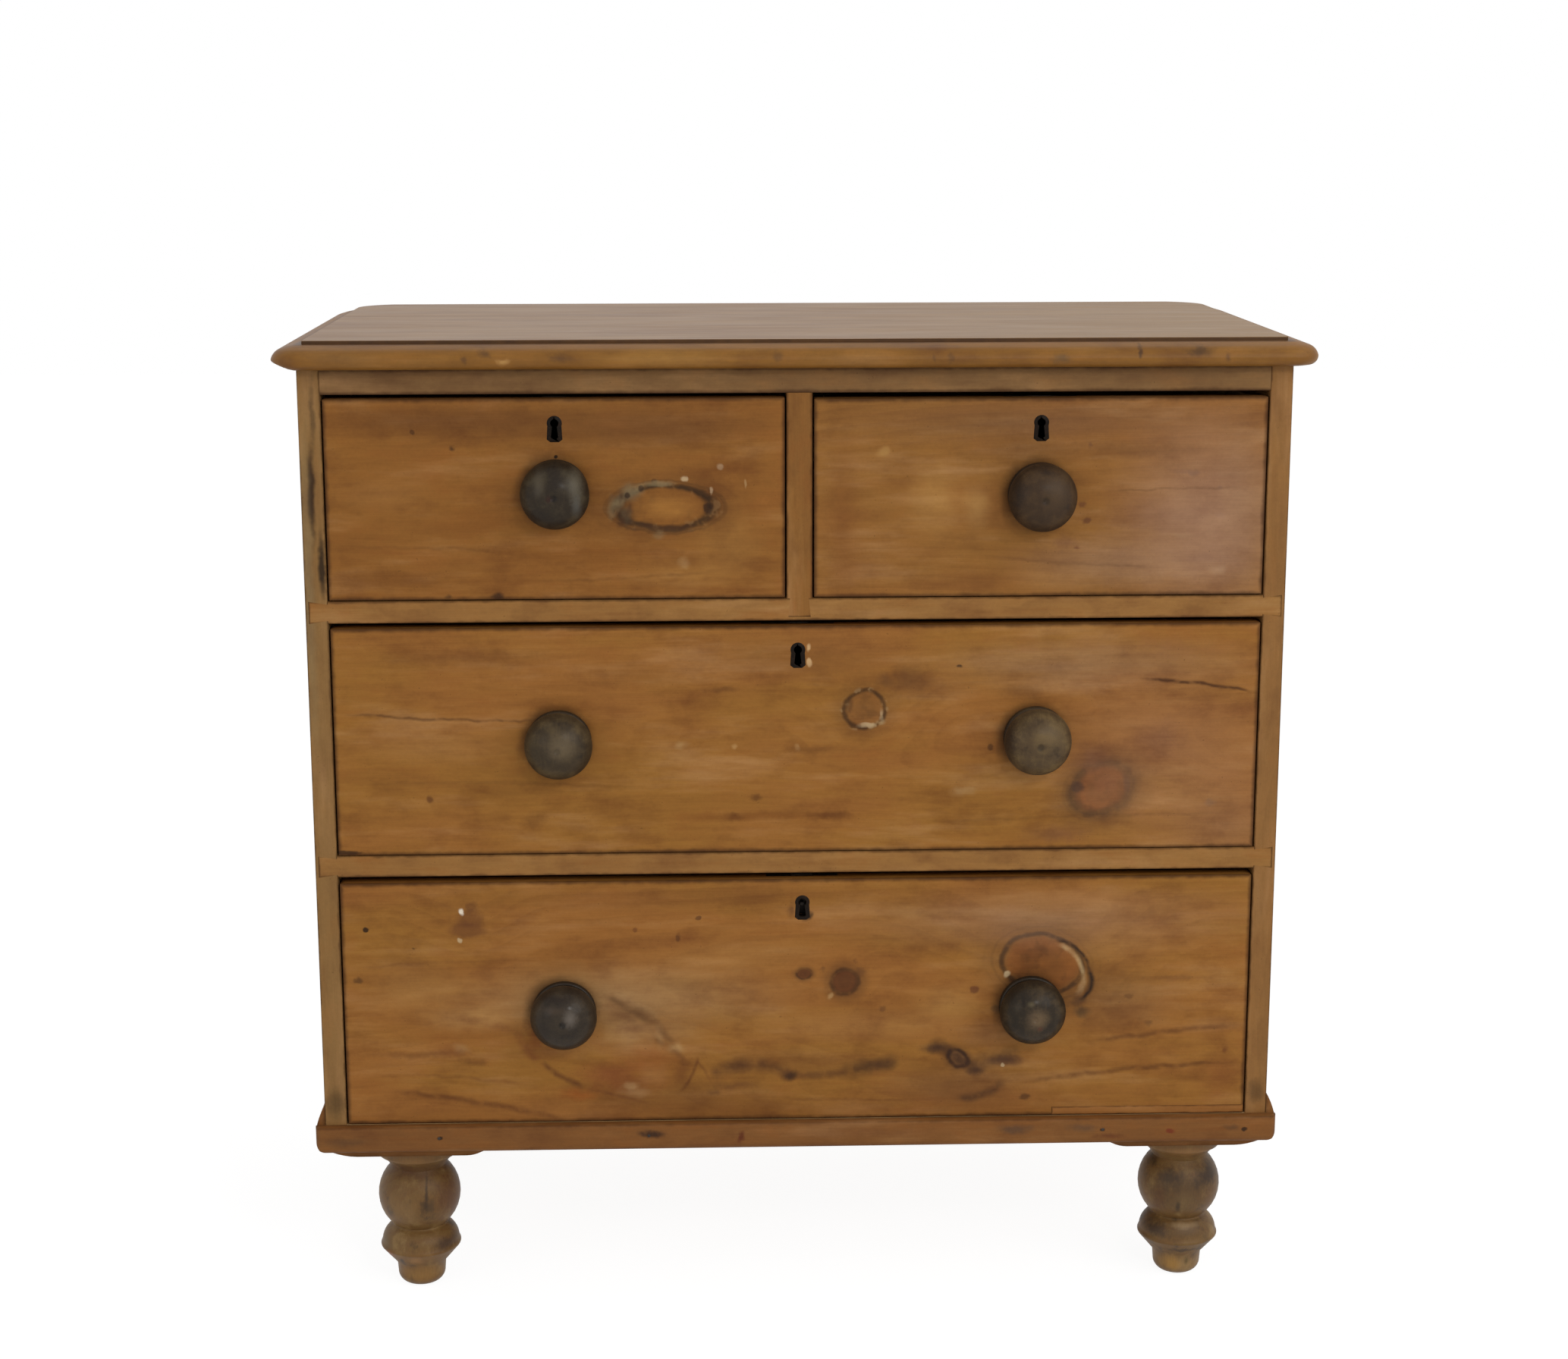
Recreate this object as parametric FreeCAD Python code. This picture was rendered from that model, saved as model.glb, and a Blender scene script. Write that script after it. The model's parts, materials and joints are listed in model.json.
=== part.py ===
"""Bachelor's chest in pine: two short drawers over two long ones, on turned feet.

While the pieces are made, X runs across the chest from its middle, Y runs back from the face of
the carcass and Z runs up from the floor. Every piece is moved once, as it is written, so that the
origin lies in the middle of the chest's footprint. Millimetres throughout.
"""
import FreeCAD, Part
import math
import os

V = FreeCAD.Vector

# ---- carcass -------------------------------------------------------------------------------------
CARCASS_WIDTH = 880.0
CARCASS_DEPTH = 450.0
SIDE_THICK = 20.0
BOTTOM_THICK = 20.0
RAIL_THICK = 20.0        # upright size of the two rails between the drawers
RAIL_DEPTH = 60.0
TOP_RAIL_HEIGHT = 22.5
TOP_RAIL_DEPTH = 45.0
SHORT_OPENING = 184.5    # height of the opening for the two short drawers
MIDDLE_OPENING = 215.5
BOTTOM_OPENING = 239.0
POST_WIDTH = 23.0
POST_SHIFT = 1.5         # the post between the short drawers stands a little right of the middle
BACK_THICK = 10.0
BACK_REBATE = 10.0       # how far the back boards lie over each side
BACK_BOARDS = 6
CARCASS_TAILS = 5        # dovetails between each side and the bottom board
TONGUE_THICK = 3.5
TONGUE_LENGTH = 6.0
TONGUE_PLAY = 0.3

# ---- top board -----------------------------------------------------------------------------------
TOP_THICK = 24.5
TOP_BACK_REACH = 5.0     # how far the top stands out behind the carcass
NOSE_REACH = 22.0        # how far the moulded edge stands out from the carcass
NOSE_DROP = 15.5         # from the top surface down to the nose of the moulding
QUIRK = 3.0              # small step between the flat of the top and its moulding
FLAT_INSET = 5.0         # how far the flat's edge lies inside the carcass's faces
BACK_CORNER_RADIUS = 47.0  # of the flat, at its back corners
BACK_CORNER_SHARE = 0.95   # how much of that radius the back edge leaves

# ---- base moulding and feet ----------------------------------------------------------------------
BASE_THICK = 8.5
BASE_DROP = 6.0          # how far the mouldings hang below the bottom board
BASE_SIDE_RISE = 19.5    # how far the side mouldings rise above the front one
BASE_SIDE_BULGE = 0.62   # what is left of their thickness halfway up that rise
BASE_ARRIS = 3.0         # rounding along the upper edges of the mouldings
BASE_UNDER_ARRIS = 6.0   # rounding along the lower edge of the front one
BASE_END = 12.0          # larger rounding under both ends, seen from the front
BASE_CORNER = 6.0        # rounding of its two upright corners
FOOT_HEIGHT = 146.0      # from the floor to the underside of the foot's block
FOOT_INSETS_X = (79.5, 70.5)  # from the carcass's left and right faces to the feet's axes
FOOT_INSET_Y = 55.0
FOOT_BALL = 38.8
FOOT_RING = 38.0
FOOT_COLLAR = 39.0
FOOT_NECK = 26.5
FOOT_WAIST = 25.0
FOOT_TOE = 23.3
FOOT_TENON = 13.0        # radius
FOOT_TENON_LENGTH = 25.0
BLOCK_THICK = 13.0
BLOCK_LENGTH = 154.0
BLOCK_DEPTH = 112.0
BLOCK_END_GAP = 4.0      # the block's outer end lies this far inside the carcass's outer face
BLOCK_FRONT_GAP = 3.0
BLOCK_END_SLOPE = 24.0   # length of the eased underside at the block's outer end
BLOCK_END_RISE = 5.0
OGEE_LENGTH = 28.0

# ---- drawers -------------------------------------------------------------------------------------
FRONT_THICK = 20.0
DRAWER_SIDE_THICK = 11.0
DRAWER_BACK_THICK = 11.0
DRAWER_BACK_ROOM = 15.0  # between a drawer's back and the back boards
PANEL_THICK = 8.0
PANEL_RISE = 10.0        # from the drawer sides' lower edges to the bottom panel
PANEL_IN_SIDE = 5.0
PANEL_IN_FRONT = 8.0
SIDE_DROP = 3.0          # the drawer sides stop this far below the front's top edge
BACK_DROP = 7.0          # the drawer back stops this far below the sides
DRAWER_SIDE_GAP = 1.5
RUNNING_GAP = 0.3        # between a drawer's sides and what they slide on
PLAY = 0.3               # between two pieces that fit without rubbing
LEFT_GAPS = (0.9, 4.0)   # below and above each drawer front
RIGHT_GAPS = (0.9, 5.4)
MIDDLE_GAPS = (0.6, 5.0)
BOTTOM_GAPS = (0.6, 6.2)
LAP = 5.0                # wood left in front of the lapped dovetails
PIN_WIDTH = 6.0          # the pins' narrow side
DOVETAIL_SLOPE = 1 / 7
EDGE_PIN = 9.0           # height of the first and the last pin
TAIL_PITCH = 58.0        # about one drawer tail for each such height
STOP_WIDTH = 30.0
STOP_DEPTH = 25.0
STOP_HEIGHT = 5.0
PATCH_LENGTH = 181.0     # strip let into the bottom drawer front's lower edge, at its right end
PATCH_HEIGHT = 8.0

# ---- runners -------------------------------------------------------------------------------------
RUNNER_WIDTH = 38.0
CENTRE_RUNNER_WIDTH = 72.0
GUIDE_HEIGHT = 24.0
KICKER_WIDTH = 30.0
STUB_LENGTH = 10.0       # stub tenons that hold the runners, the top rail and the post
STUB_SHARE = 0.45        # a stub tenon's thickness, as a share of its own rail's

# ---- lapped joints of the rails and the post -----------------------------------------------------
RAIL_LAP = 17.0          # length of a rail's tail in the side's front edge
RAIL_TAIL_DEPTH = 32.0
RAIL_SHOULDER = 2.5
POST_TAIL_HEIGHT = 17.0
POST_TAIL_DEPTH = 10.0
POST_SHOULDER = 3.0

# ---- knobs ---------------------------------------------------------------------------------------
KNOB_REACH = 41.0
KNOB_RADIUS = 30.5
KNOB_FLANGE_RADIUS = 29.5
KNOB_FLANGE_THICK = 6.0
KNOB_NECK_RADIUS = 20.0
KNOB_HEAD_START = 13.0
KNOB_WIDEST = 22.0
KNOB_DIMPLE_RADIUS = 3.0
KNOB_DIMPLE_DEPTH = 1.0
KNOB_TENON_RADIUS = 9.0
KNOB_SPREAD = 432.0      # between the two knobs of a long drawer
LEFT_KNOB_HEIGHT = 96.5  # above the drawer front's lower edge
RIGHT_KNOB_HEIGHT = 91.5
MIDDLE_KNOB_HEIGHT = 105.0
BOTTOM_KNOB_HEIGHT = 108.0

# ---- locks ---------------------------------------------------------------------------------------
LOCK_WIDTH = 50.0
LOCK_HEIGHT = 42.0
LOCK_THICK = 9.0
LOCK_WALL = 1.2
LOCK_FLANGE = 8.0        # how far the back plate and the selvedge pass each end of the case
LOCK_PLATE = 2.0
KEY_DROP = 27.0          # from the drawer front's top edge to the middle of the keyhole
KEY_SHIFT_BOTTOM = 4.0   # the bottom drawer's lock sits a little right of the middle
KEY_PIN_RADIUS = 1.6
BOLT_WIDTH = 20.0
BOLT_TAIL_WIDTH = 26.0
BOLT_TAIL_HEIGHT = 4.0
BOLT_LENGTH = 15.5
BOLT_SINK = 0.5          # the bolt's end lies this far inside the selvedge when unlocked
KEYHOLE_RADIUS = 4.0
KEYHOLE_EYE_RISE = 5.0   # from the keyhole's middle up to the centre of its round eye
KEYHOLE_DROP = 9.0       # from its middle down to the lower end of its slot
KEYHOLE_SLOT = (5.2, 7.4)  # the slot's width at the eye and at its lower end
BOLT_ROOM = 1.0          # round the bolt in the mortise above it

# ---- places that follow from the sizes -----------------------------------------------------------
HALF = CARCASS_WIDTH / 2
INNER = HALF - SIDE_THICK
BACK_FACE = CARCASS_DEPTH - BACK_THICK      # inner face of the back boards
TOP_BACK = CARCASS_DEPTH + TOP_BACK_REACH
DRAWER_LENGTH = BACK_FACE - DRAWER_BACK_ROOM  # from the front's face to the back of the drawer
BLOCK_TOP = FOOT_HEIGHT + BLOCK_THICK       # underside of the bottom board and the sides
FLOOR_TOP = BLOCK_TOP + BOTTOM_THICK
LOWER_RAIL = FLOOR_TOP + BOTTOM_OPENING     # underside of each rail
UPPER_RAIL = LOWER_RAIL + RAIL_THICK + MIDDLE_OPENING
TOP_RAIL = UPPER_RAIL + RAIL_THICK + SHORT_OPENING
TOP_UNDER = TOP_RAIL + TOP_RAIL_HEIGHT
TOP_SURFACE = TOP_UNDER + TOP_THICK
POST_DEPTH = TOP_RAIL_DEPTH
POST_LEFT = POST_SHIFT - POST_WIDTH / 2
POST_RIGHT = POST_SHIFT + POST_WIDTH / 2
BASE_LOW = BLOCK_TOP - BASE_DROP
LOCK_FACE = FRONT_THICK - LOCK_THICK        # front wall of the lock's case
BOLT_THICK = LOCK_THICK - 2 * LOCK_WALL - 2 * PLAY
BOLT_MIDDLE = FRONT_THICK - LOCK_THICK / 2
BOLT_TRAVEL = BOLT_SINK + BOLT_LENGTH - BOLT_TAIL_HEIGHT - LOCK_PLATE - PLAY
MIDDLE_OF_FOOTPRINT = (TOP_BACK - KNOB_REACH) / 2
FOOT_X = (FOOT_INSETS_X[0] - HALF, HALF - FOOT_INSETS_X[1])
FOOT_Y = (FOOT_INSET_Y, CARCASS_DEPTH - FOOT_INSET_Y)


# ---- drawing helpers -----------------------------------------------------------------------------
def box(x, y, z):
    """A box between two limits along each axis."""
    size = [high - low for low, high in (x, y, z)]
    return Part.makeBox(*size, V(x[0], y[0], z[0]))


def outline(place, start, *steps):
    """A closed face of straight runs and arcs. A step is a point, or an arc's middle and end together."""
    here = first = place(*start)
    edges = []
    for step in steps:
        end = place(*step[-2:])
        if len(step) == 4:
            edges.append(Part.Arc(here, place(*step[:2]), end).toShape())
        else:
            edges.append(Part.LineSegment(here, end).toShape())
        here = end
    if here.distanceToPoint(first) > 1e-6:
        edges.append(Part.LineSegment(here, first).toShape())
    return Part.Face(Part.Wire(edges))


def flat(u, v):
    return V(u, v, 0)


def upright(u, v):
    return V(u, 0, v)


def hanging(u, v):
    """As upright, with the first measure taken along Z."""
    return V(v, 0, u)


def trapezoid(place, middle, root, tip, neck, end, way):
    """A dovetail: neck wide at its root and end wide at its tip, drawn in one plane and pushed along way."""
    narrow = [(root, middle + neck / 2), (root, middle - neck / 2)]
    wide = [(tip, middle - end / 2), (tip, middle + end / 2)]
    return outline(place, *narrow, *wide).extrude(way)


def turned(section, axis, place):
    """A lathe piece. Its arcs become splines, because the faces that those turn into need fewer facets."""
    edges = section.OuterWire.Edges
    curves = [edge if edge.Curve.TypeId == "Part::GeomLine" else edge.toNurbs().Edges[0] for edge in edges]
    solid = Part.Face(Part.Wire(curves)).revolve(V(0, 0, 0), axis, 360)
    solid.translate(place)
    return solid


def fused(solids):
    whole = solids[0]
    for solid in solids[1:]:
        whole = whole.fuse(solid)
    return whole.removeSplitter()


def without(solid, *cutters):
    for cutter in cutters:
        solid = solid.cut(cutter)
    return solid.removeSplitter() if cutters else solid


def mirrored(solid):
    return solid.mirror(V(0, 0, 0), V(1, 0, 0))


def row_of_tails(low, high, count, length):
    """The middle, neck width and end width of each dovetail in a row between two edges."""
    span = high - low - 2 * EDGE_PIN
    end = (span - (count - 1) * PIN_WIDTH) / count
    neck = end - 2 * length * DOVETAIL_SLOPE
    return [(low + EDGE_PIN + end / 2 + k * (end + PIN_WIDTH), neck, end) for k in range(count)]


# ---- top -----------------------------------------------------------------------------------------
def moulding_face(place, inward=0.0):
    """Section of the moulded edge from the flat outwards: quirk, thumb moulding and rounded nose."""
    width = FLAT_INSET + NOSE_REACH
    nose = TOP_SURFACE - NOSE_DROP
    rise = NOSE_DROP - QUIRK
    fall = nose - TOP_UNDER

    def thumb(degrees):
        angle = math.radians(degrees)
        return (width * math.sin(angle), nose + rise * math.cos(angle))

    inner = [(-inward, TOP_UNDER), (-inward, TOP_SURFACE), (0, TOP_SURFACE)] if inward else [(0, TOP_UNDER)]
    return outline(
        place,
        *inner,
        thumb(0),
        thumb(20) + thumb(40),
        thumb(60) + thumb(90),
        (width - fall * 0.15, nose - fall * 0.55, width - fall * 0.6, nose - fall * 0.9),
        (width - fall * 1.2, TOP_UNDER),
    )


def top_board():
    """The moulding turns about the flat's corners, of which the back two are round, and ends at the back."""
    depth = TOP_BACK
    height = (TOP_UNDER, TOP_SURFACE)
    edge = HALF - FLAT_INSET
    r = BACK_CORNER_RADIUS
    turn_y = depth - r * BACK_CORNER_SHARE
    front = moulding_face(lambda u, v: V(-edge, FLAT_INSET - u, v)).extrude(V(2 * edge, 0, 0))
    pieces = [
        box((-edge, edge), (FLAT_INSET, turn_y), height),
        box((r - edge, edge - r), (turn_y, depth), height),
        front,
    ]
    for side in (-1, 1):
        end = moulding_face(lambda u, v: V(side * (edge + u), FLAT_INSET, v))
        pieces.append(end.extrude(V(0, turn_y - FLAT_INSET, 0)))
        pieces.append(end.revolve(V(side * edge, FLAT_INSET, 0), V(0, 0, -side), 90))
        back = moulding_face(lambda u, v: V(side * (edge + u), turn_y, v), r)
        pieces.append(back.revolve(V(side * (edge - r), turn_y, 0), V(0, 0, side), 90))
    reach = HALF + NOSE_REACH
    return fused(pieces).common(box((-reach, reach), (-NOSE_REACH, depth), height)).removeSplitter()


# ---- carcass boards ------------------------------------------------------------------------------
def carcass_tails():
    """Tails on the lower end of the right-hand side, which sit in the end of the bottom board."""
    return [
        trapezoid(lambda u, v: V(INNER, v, u), middle, FLOOR_TOP, BLOCK_TOP, neck, end, V(SIDE_THICK, 0, 0))
        for middle, neck, end in row_of_tails(0, BACK_FACE, CARCASS_TAILS, BOTTOM_THICK)
    ]


def rail_tail(underside):
    """The lapped tail on the right-hand end of a rail."""
    neck = RAIL_THICK - 2 * RAIL_SHOULDER
    middle = underside + RAIL_THICK / 2
    way = V(0, RAIL_TAIL_DEPTH, 0)
    return trapezoid(upright, middle, INNER, INNER + RAIL_LAP, neck, RAIL_THICK, way)


def top_rail_stub():
    """The stub tenon on the right-hand end of the top rail."""
    half = TOP_RAIL_HEIGHT * STUB_SHARE / 2
    middle = TOP_RAIL + TOP_RAIL_HEIGHT / 2
    margin = (1 - STUB_SHARE) * TOP_RAIL_DEPTH / 2
    deep = (margin, TOP_RAIL_DEPTH - margin)
    return box((INNER, INNER + STUB_LENGTH), deep, (middle - half, middle + half))


def side_board():
    """The right-hand side. The left-hand one is its mirror image."""
    board = box((INNER, HALF), (0, CARCASS_DEPTH), (FLOOR_TOP, TOP_UNDER))
    behind = box((HALF - BACK_REBATE, HALF), (BACK_FACE, CARCASS_DEPTH), (BLOCK_TOP, FLOOR_TOP))
    rebate = box((INNER, INNER + BACK_REBATE), (BACK_FACE, CARCASS_DEPTH), (FLOOR_TOP, TOP_UNDER))
    board = without(board, rebate, rail_tail(LOWER_RAIL), rail_tail(UPPER_RAIL), top_rail_stub())
    return fused([board, behind] + carcass_tails())


def bottom_board():
    board = box((-HALF, HALF), (0, BACK_FACE), (BLOCK_TOP, FLOOR_TOP))
    tails = carcass_tails()
    sockets = [foot_hole(x, y) for x in FOOT_X for y in FOOT_Y]
    return without(board, *tails, *[mirrored(tail) for tail in tails], *sockets)


def back_boards():
    """Upright boards, tongued and grooved, let into the back of the sides."""
    reach = INNER + BACK_REBATE
    width = 2 * reach / BACK_BOARDS
    height = (BLOCK_TOP, TOP_UNDER)
    middle = BACK_FACE + BACK_THICK / 2
    boards = []
    for k in range(BACK_BOARDS):
        left = -reach + k * width
        board = box((left, left + width), (BACK_FACE, CARCASS_DEPTH), height)
        thick = TONGUE_THICK / 2
        if k:
            groove = thick + TONGUE_PLAY
            depth = TONGUE_LENGTH + TONGUE_PLAY
            board = without(board, box((left, left + depth), (middle - groove, middle + groove), height))
        if k < BACK_BOARDS - 1:
            right = left + width
            tongue = box((right, right + TONGUE_LENGTH), (middle - thick, middle + thick), height)
            board = fused([board, tongue])
        boards.append(board)
    return Part.makeCompound(boards)


# ---- rails, post, runners ------------------------------------------------------------------------
def runner_span(centre, width):
    return (centre - width / 2, centre + width / 2)


SIDE_RUNNER_X = INNER - RUNNER_WIDTH / 2


def runner_stub(centre, width, underside):
    """The stub tenon that a runner's front end sets into the back of its rail."""
    thick = RAIL_THICK * STUB_SHARE
    low = underside + (RAIL_THICK - thick) / 2
    across = runner_span(centre, width / 2)
    return box(across, (RAIL_DEPTH - STUB_LENGTH, RAIL_DEPTH), (low, low + thick))


def runner(centre, width, underside):
    across = runner_span(centre, width)
    bar = box(across, (RAIL_DEPTH, BACK_FACE), (underside, underside + RAIL_THICK))
    return fused([bar, runner_stub(centre, width, underside)])


def post_tail():
    """The lapped tail at the foot of the post, let into the front of the upper rail."""
    root = UPPER_RAIL + RAIL_THICK
    way = V(0, POST_TAIL_DEPTH, 0)
    neck = POST_WIDTH - 2 * POST_SHOULDER
    end = POST_WIDTH - POST_SHOULDER
    return trapezoid(hanging, POST_SHIFT, root, root - POST_TAIL_HEIGHT, neck, end, way)


def post_stub():
    """The stub tenon on the post's upper end, in the top rail."""
    half = POST_WIDTH * STUB_SHARE / 2
    across = (POST_SHIFT - half, POST_SHIFT + half)
    margin = (1 - STUB_SHARE) * POST_DEPTH / 2
    return box(across, (margin, POST_DEPTH - margin), (TOP_RAIL, TOP_RAIL + STUB_LENGTH))


def divider_post():
    body = box((POST_LEFT, POST_RIGHT), (0, POST_DEPTH), (UPPER_RAIL + RAIL_THICK, TOP_RAIL))
    return fused([body, post_tail(), post_stub()])


def bolt_mortise(centre, underside, gap):
    """The mortise over a drawer's lock, deep enough for the bolt at the end of its travel."""
    half = BOLT_WIDTH / 2 + BOLT_ROOM
    half_thick = BOLT_THICK / 2 + BOLT_ROOM
    depth = BOLT_TRAVEL - BOLT_SINK - gap + BOLT_ROOM
    deep = (BOLT_MIDDLE - half_thick, BOLT_MIDDLE + half_thick)
    return box((centre - half, centre + half), deep, (underside, underside + depth))


def rail(underside, runners, mortises):
    """A rail between two rows of drawers, with a tail on each end."""
    bar = box((-INNER, INNER), (0, RAIL_DEPTH), (underside, underside + RAIL_THICK))
    tail = rail_tail(underside)
    bar = fused([bar, tail, mirrored(tail)])
    stubs = [runner_stub(centre, width, underside) for centre, width in runners]
    return without(bar, *stubs, *mortises)


def top_rail():
    bar = box((-INNER, INNER), (0, TOP_RAIL_DEPTH), (TOP_RAIL, TOP_UNDER))
    stub = top_rail_stub()
    bar = fused([bar, stub, mirrored(stub)])
    mortises = [bolt_mortise(d.key_x, TOP_RAIL, d.gap_above) for d in (LEFT_DRAWER, RIGHT_DRAWER)]
    return without(bar, post_stub(), *mortises)


def kickers():
    """Strips under the top that keep the short drawers from tipping as they are pulled out."""
    spans = [(-INNER, KICKER_WIDTH - INNER), (INNER - KICKER_WIDTH, INNER)]
    spans.append(runner_span(POST_SHIFT, CENTRE_RUNNER_WIDTH))
    return Part.makeCompound([box(x, (TOP_RAIL_DEPTH, BACK_FACE), (TOP_RAIL, TOP_UNDER)) for x in spans])


def centre_guide():
    low = UPPER_RAIL + RAIL_THICK
    return box((POST_LEFT, POST_RIGHT), (POST_DEPTH, BACK_FACE), (low, low + GUIDE_HEIGHT))


def drawer_stops():
    """Small blocks that the backs of the drawer fronts come to rest against."""
    start = FRONT_THICK + PLAY
    blocks = []
    for drawer in DRAWERS:
        quarter = (drawer.right - drawer.left) / 4
        for x in (drawer.left + quarter, drawer.right - quarter):
            across = runner_span(x, STOP_WIDTH)
            height = (drawer.floor, drawer.floor + STOP_HEIGHT)
            blocks.append(box(across, (start, start + STOP_DEPTH), height))
    return Part.makeCompound(blocks)


# ---- base ----------------------------------------------------------------------------------------
def base_front():
    """A plain strip along the front with eased edges and rounded corners."""
    reach = HALF + BASE_THICK
    r = BASE_CORNER
    turn = r * (1 - math.sqrt(0.5))
    plan = outline(
        flat,
        (-reach, 0),
        (-reach, r - BASE_THICK),
        (-reach + turn, turn - BASE_THICK, -reach + r, -BASE_THICK),
        (reach - r, -BASE_THICK),
        (reach - turn, turn - BASE_THICK, reach, r - BASE_THICK),
        (reach, 0),
    )
    plan.translate(V(0, 0, BASE_LOW))
    strip = plan.extrude(V(0, 0, FLOOR_TOP - BASE_LOW))
    inset = BASE_ARRIS - BASE_THICK
    under = BASE_UNDER_ARRIS - BASE_THICK
    low, high = BASE_LOW + BASE_UNDER_ARRIS, FLOOR_TOP - BASE_ARRIS
    section = outline(
        lambda u, v: V(-reach, u, v),
        (0, BASE_LOW),
        (under, BASE_LOW),
        rounding(under, low, BASE_UNDER_ARRIS, 225) + (-BASE_THICK, low),
        (-BASE_THICK, high),
        rounding(inset, high, BASE_ARRIS, 135) + (inset, FLOOR_TOP),
        (0, FLOOR_TOP),
    )
    end = BASE_LOW + BASE_END
    front_view = outline(
        lambda u, v: V(u, -BASE_THICK, v),
        (-reach, FLOOR_TOP),
        (-reach, end),
        rounding(BASE_END - reach, end, BASE_END, 225) + (BASE_END - reach, BASE_LOW),
        (reach - BASE_END, BASE_LOW),
        rounding(reach - BASE_END, end, BASE_END, 315) + (reach, end),
        (reach, FLOOR_TOP),
    )
    strip = strip.common(section.extrude(V(2 * reach, 0, 0)))
    return strip.common(front_view.extrude(V(0, BASE_THICK, 0))).removeSplitter()


def rounding(u, v, radius, degrees):
    """The point of a circle at an angle, which an arc passes through."""
    angle = math.radians(degrees)
    return (u + radius * math.cos(angle), v + radius * math.sin(angle))


def base_side():
    """The right-hand moulding: an upright band that curves in to the carcass above it."""
    top = FLOOR_TOP + BASE_SIDE_RISE
    bend = FLOOR_TOP - BASE_ARRIS
    centre, low = BASE_THICK - BASE_END, BASE_LOW + BASE_END
    start = -math.degrees(math.acos(-centre / BASE_END))
    section = outline(
        lambda u, v: V(HALF + u, 0, v),
        rounding(centre, low, BASE_END, start),
        rounding(centre, low, BASE_END, start / 2) + (BASE_THICK, low),
        (BASE_THICK, bend),
        (BASE_THICK * BASE_SIDE_BULGE, (bend + top) / 2, 0, top),
    )
    return section.extrude(V(0, CARCASS_DEPTH, 0))


def foot_block(x_side, y_low, y_high):
    """A packing block over a foot: eased under its outer end, and cut to an ogee at its inner end."""
    outer = HALF - BLOCK_END_GAP
    inner = outer - BLOCK_LENGTH
    rise = BASE_DROP + 1
    bend = inner + OGEE_LENGTH
    half = inner + OGEE_LENGTH / 2
    sag = rise / 8
    eased = (outer - BLOCK_END_SLOPE * 0.45, FOOT_HEIGHT + BLOCK_END_RISE * 0.32)
    section = outline(
        lambda u, v: V(x_side * u, y_low, v),
        (outer - BLOCK_END_SLOPE, FOOT_HEIGHT),
        eased + (outer, FOOT_HEIGHT + BLOCK_END_RISE),
        (outer, BLOCK_TOP),
        (inner, BLOCK_TOP),
        (inner, FOOT_HEIGHT + rise),
        (inner + OGEE_LENGTH / 4, FOOT_HEIGHT + rise * 3 / 4 + sag, half, FOOT_HEIGHT + rise / 2),
        (bend - OGEE_LENGTH / 4, FOOT_HEIGHT + rise / 4 - sag, bend, FOOT_HEIGHT),
    )
    return section.extrude(V(0, y_high - y_low, 0))


def foot_hole(x, y):
    """The bore for a foot's tenon, from the block's underside up into the bottom board."""
    return Part.makeCylinder(FOOT_TENON + PLAY / 2, FOOT_TENON_LENGTH + PLAY, V(x, y, FOOT_HEIGHT))


def foot_blocks():
    blocks = []
    spans = (BLOCK_FRONT_GAP, BLOCK_FRONT_GAP + BLOCK_DEPTH), (CARCASS_DEPTH - BLOCK_DEPTH, CARCASS_DEPTH)
    for side, x in zip((-1, 1), FOOT_X):
        for y, span in zip(FOOT_Y, spans):
            blocks.append(without(foot_block(side, *span), foot_hole(x, y)))
    return Part.makeCompound(blocks)


def foot(x, y):
    """A turned foot: toe, sharp ring, ball, neck and collar, with a tenon above."""
    tenon_top = FOOT_HEIGHT + FOOT_TENON_LENGTH
    section = outline(
        upright,
        (0, 0),
        (FOOT_TOE - 11, 0),
        (FOOT_TOE - 4, 3.2, FOOT_TOE - 0.8, 11),
        (FOOT_TOE, 21),
        (FOOT_RING, 39),
        (FOOT_RING - 1, 43.5),
        (FOOT_WAIST + 8.5, 53, FOOT_WAIST, 60),
        (FOOT_BALL, 90, FOOT_NECK, 119.5),
        (FOOT_NECK + 4.5, 126, FOOT_COLLAR - 1, 132),
        (FOOT_COLLAR, 134),
        (FOOT_COLLAR, FOOT_HEIGHT),
        (FOOT_TENON, FOOT_HEIGHT),
        (FOOT_TENON, tenon_top),
        (0, tenon_top),
    )
    return turned(section, V(0, 0, 1), V(x, y, 0))


# ---- drawers -------------------------------------------------------------------------------------
class Drawer:
    """Where one drawer lies: its opening's sides, floor and height, and what its front carries."""

    def __init__(self, name, left, right, floor, opening, gaps, knob_height, spread=0.0, key_shift=0.0):
        self.name = name
        self.left = left + DRAWER_SIDE_GAP
        self.right = right - DRAWER_SIDE_GAP
        self.floor = floor
        self.gap_above = gaps[1]
        self.low = floor + gaps[0]
        self.high = floor + opening - gaps[1]
        self.middle = (self.left + self.right) / 2
        self.key_x = self.middle + key_shift
        self.knob_z = self.low + knob_height
        self.knobs = [self.middle - spread / 2, self.middle + spread / 2] if spread else [self.middle]
        self.side_low = floor + RUNNING_GAP
        self.side_high = self.high - SIDE_DROP
        self.panel_low = self.side_low + PANEL_RISE
        self.panel_high = self.panel_low + PANEL_THICK
        self.back_high = self.side_high - BACK_DROP
        self.tails = round((self.high - self.low) / TAIL_PITCH)


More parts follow.
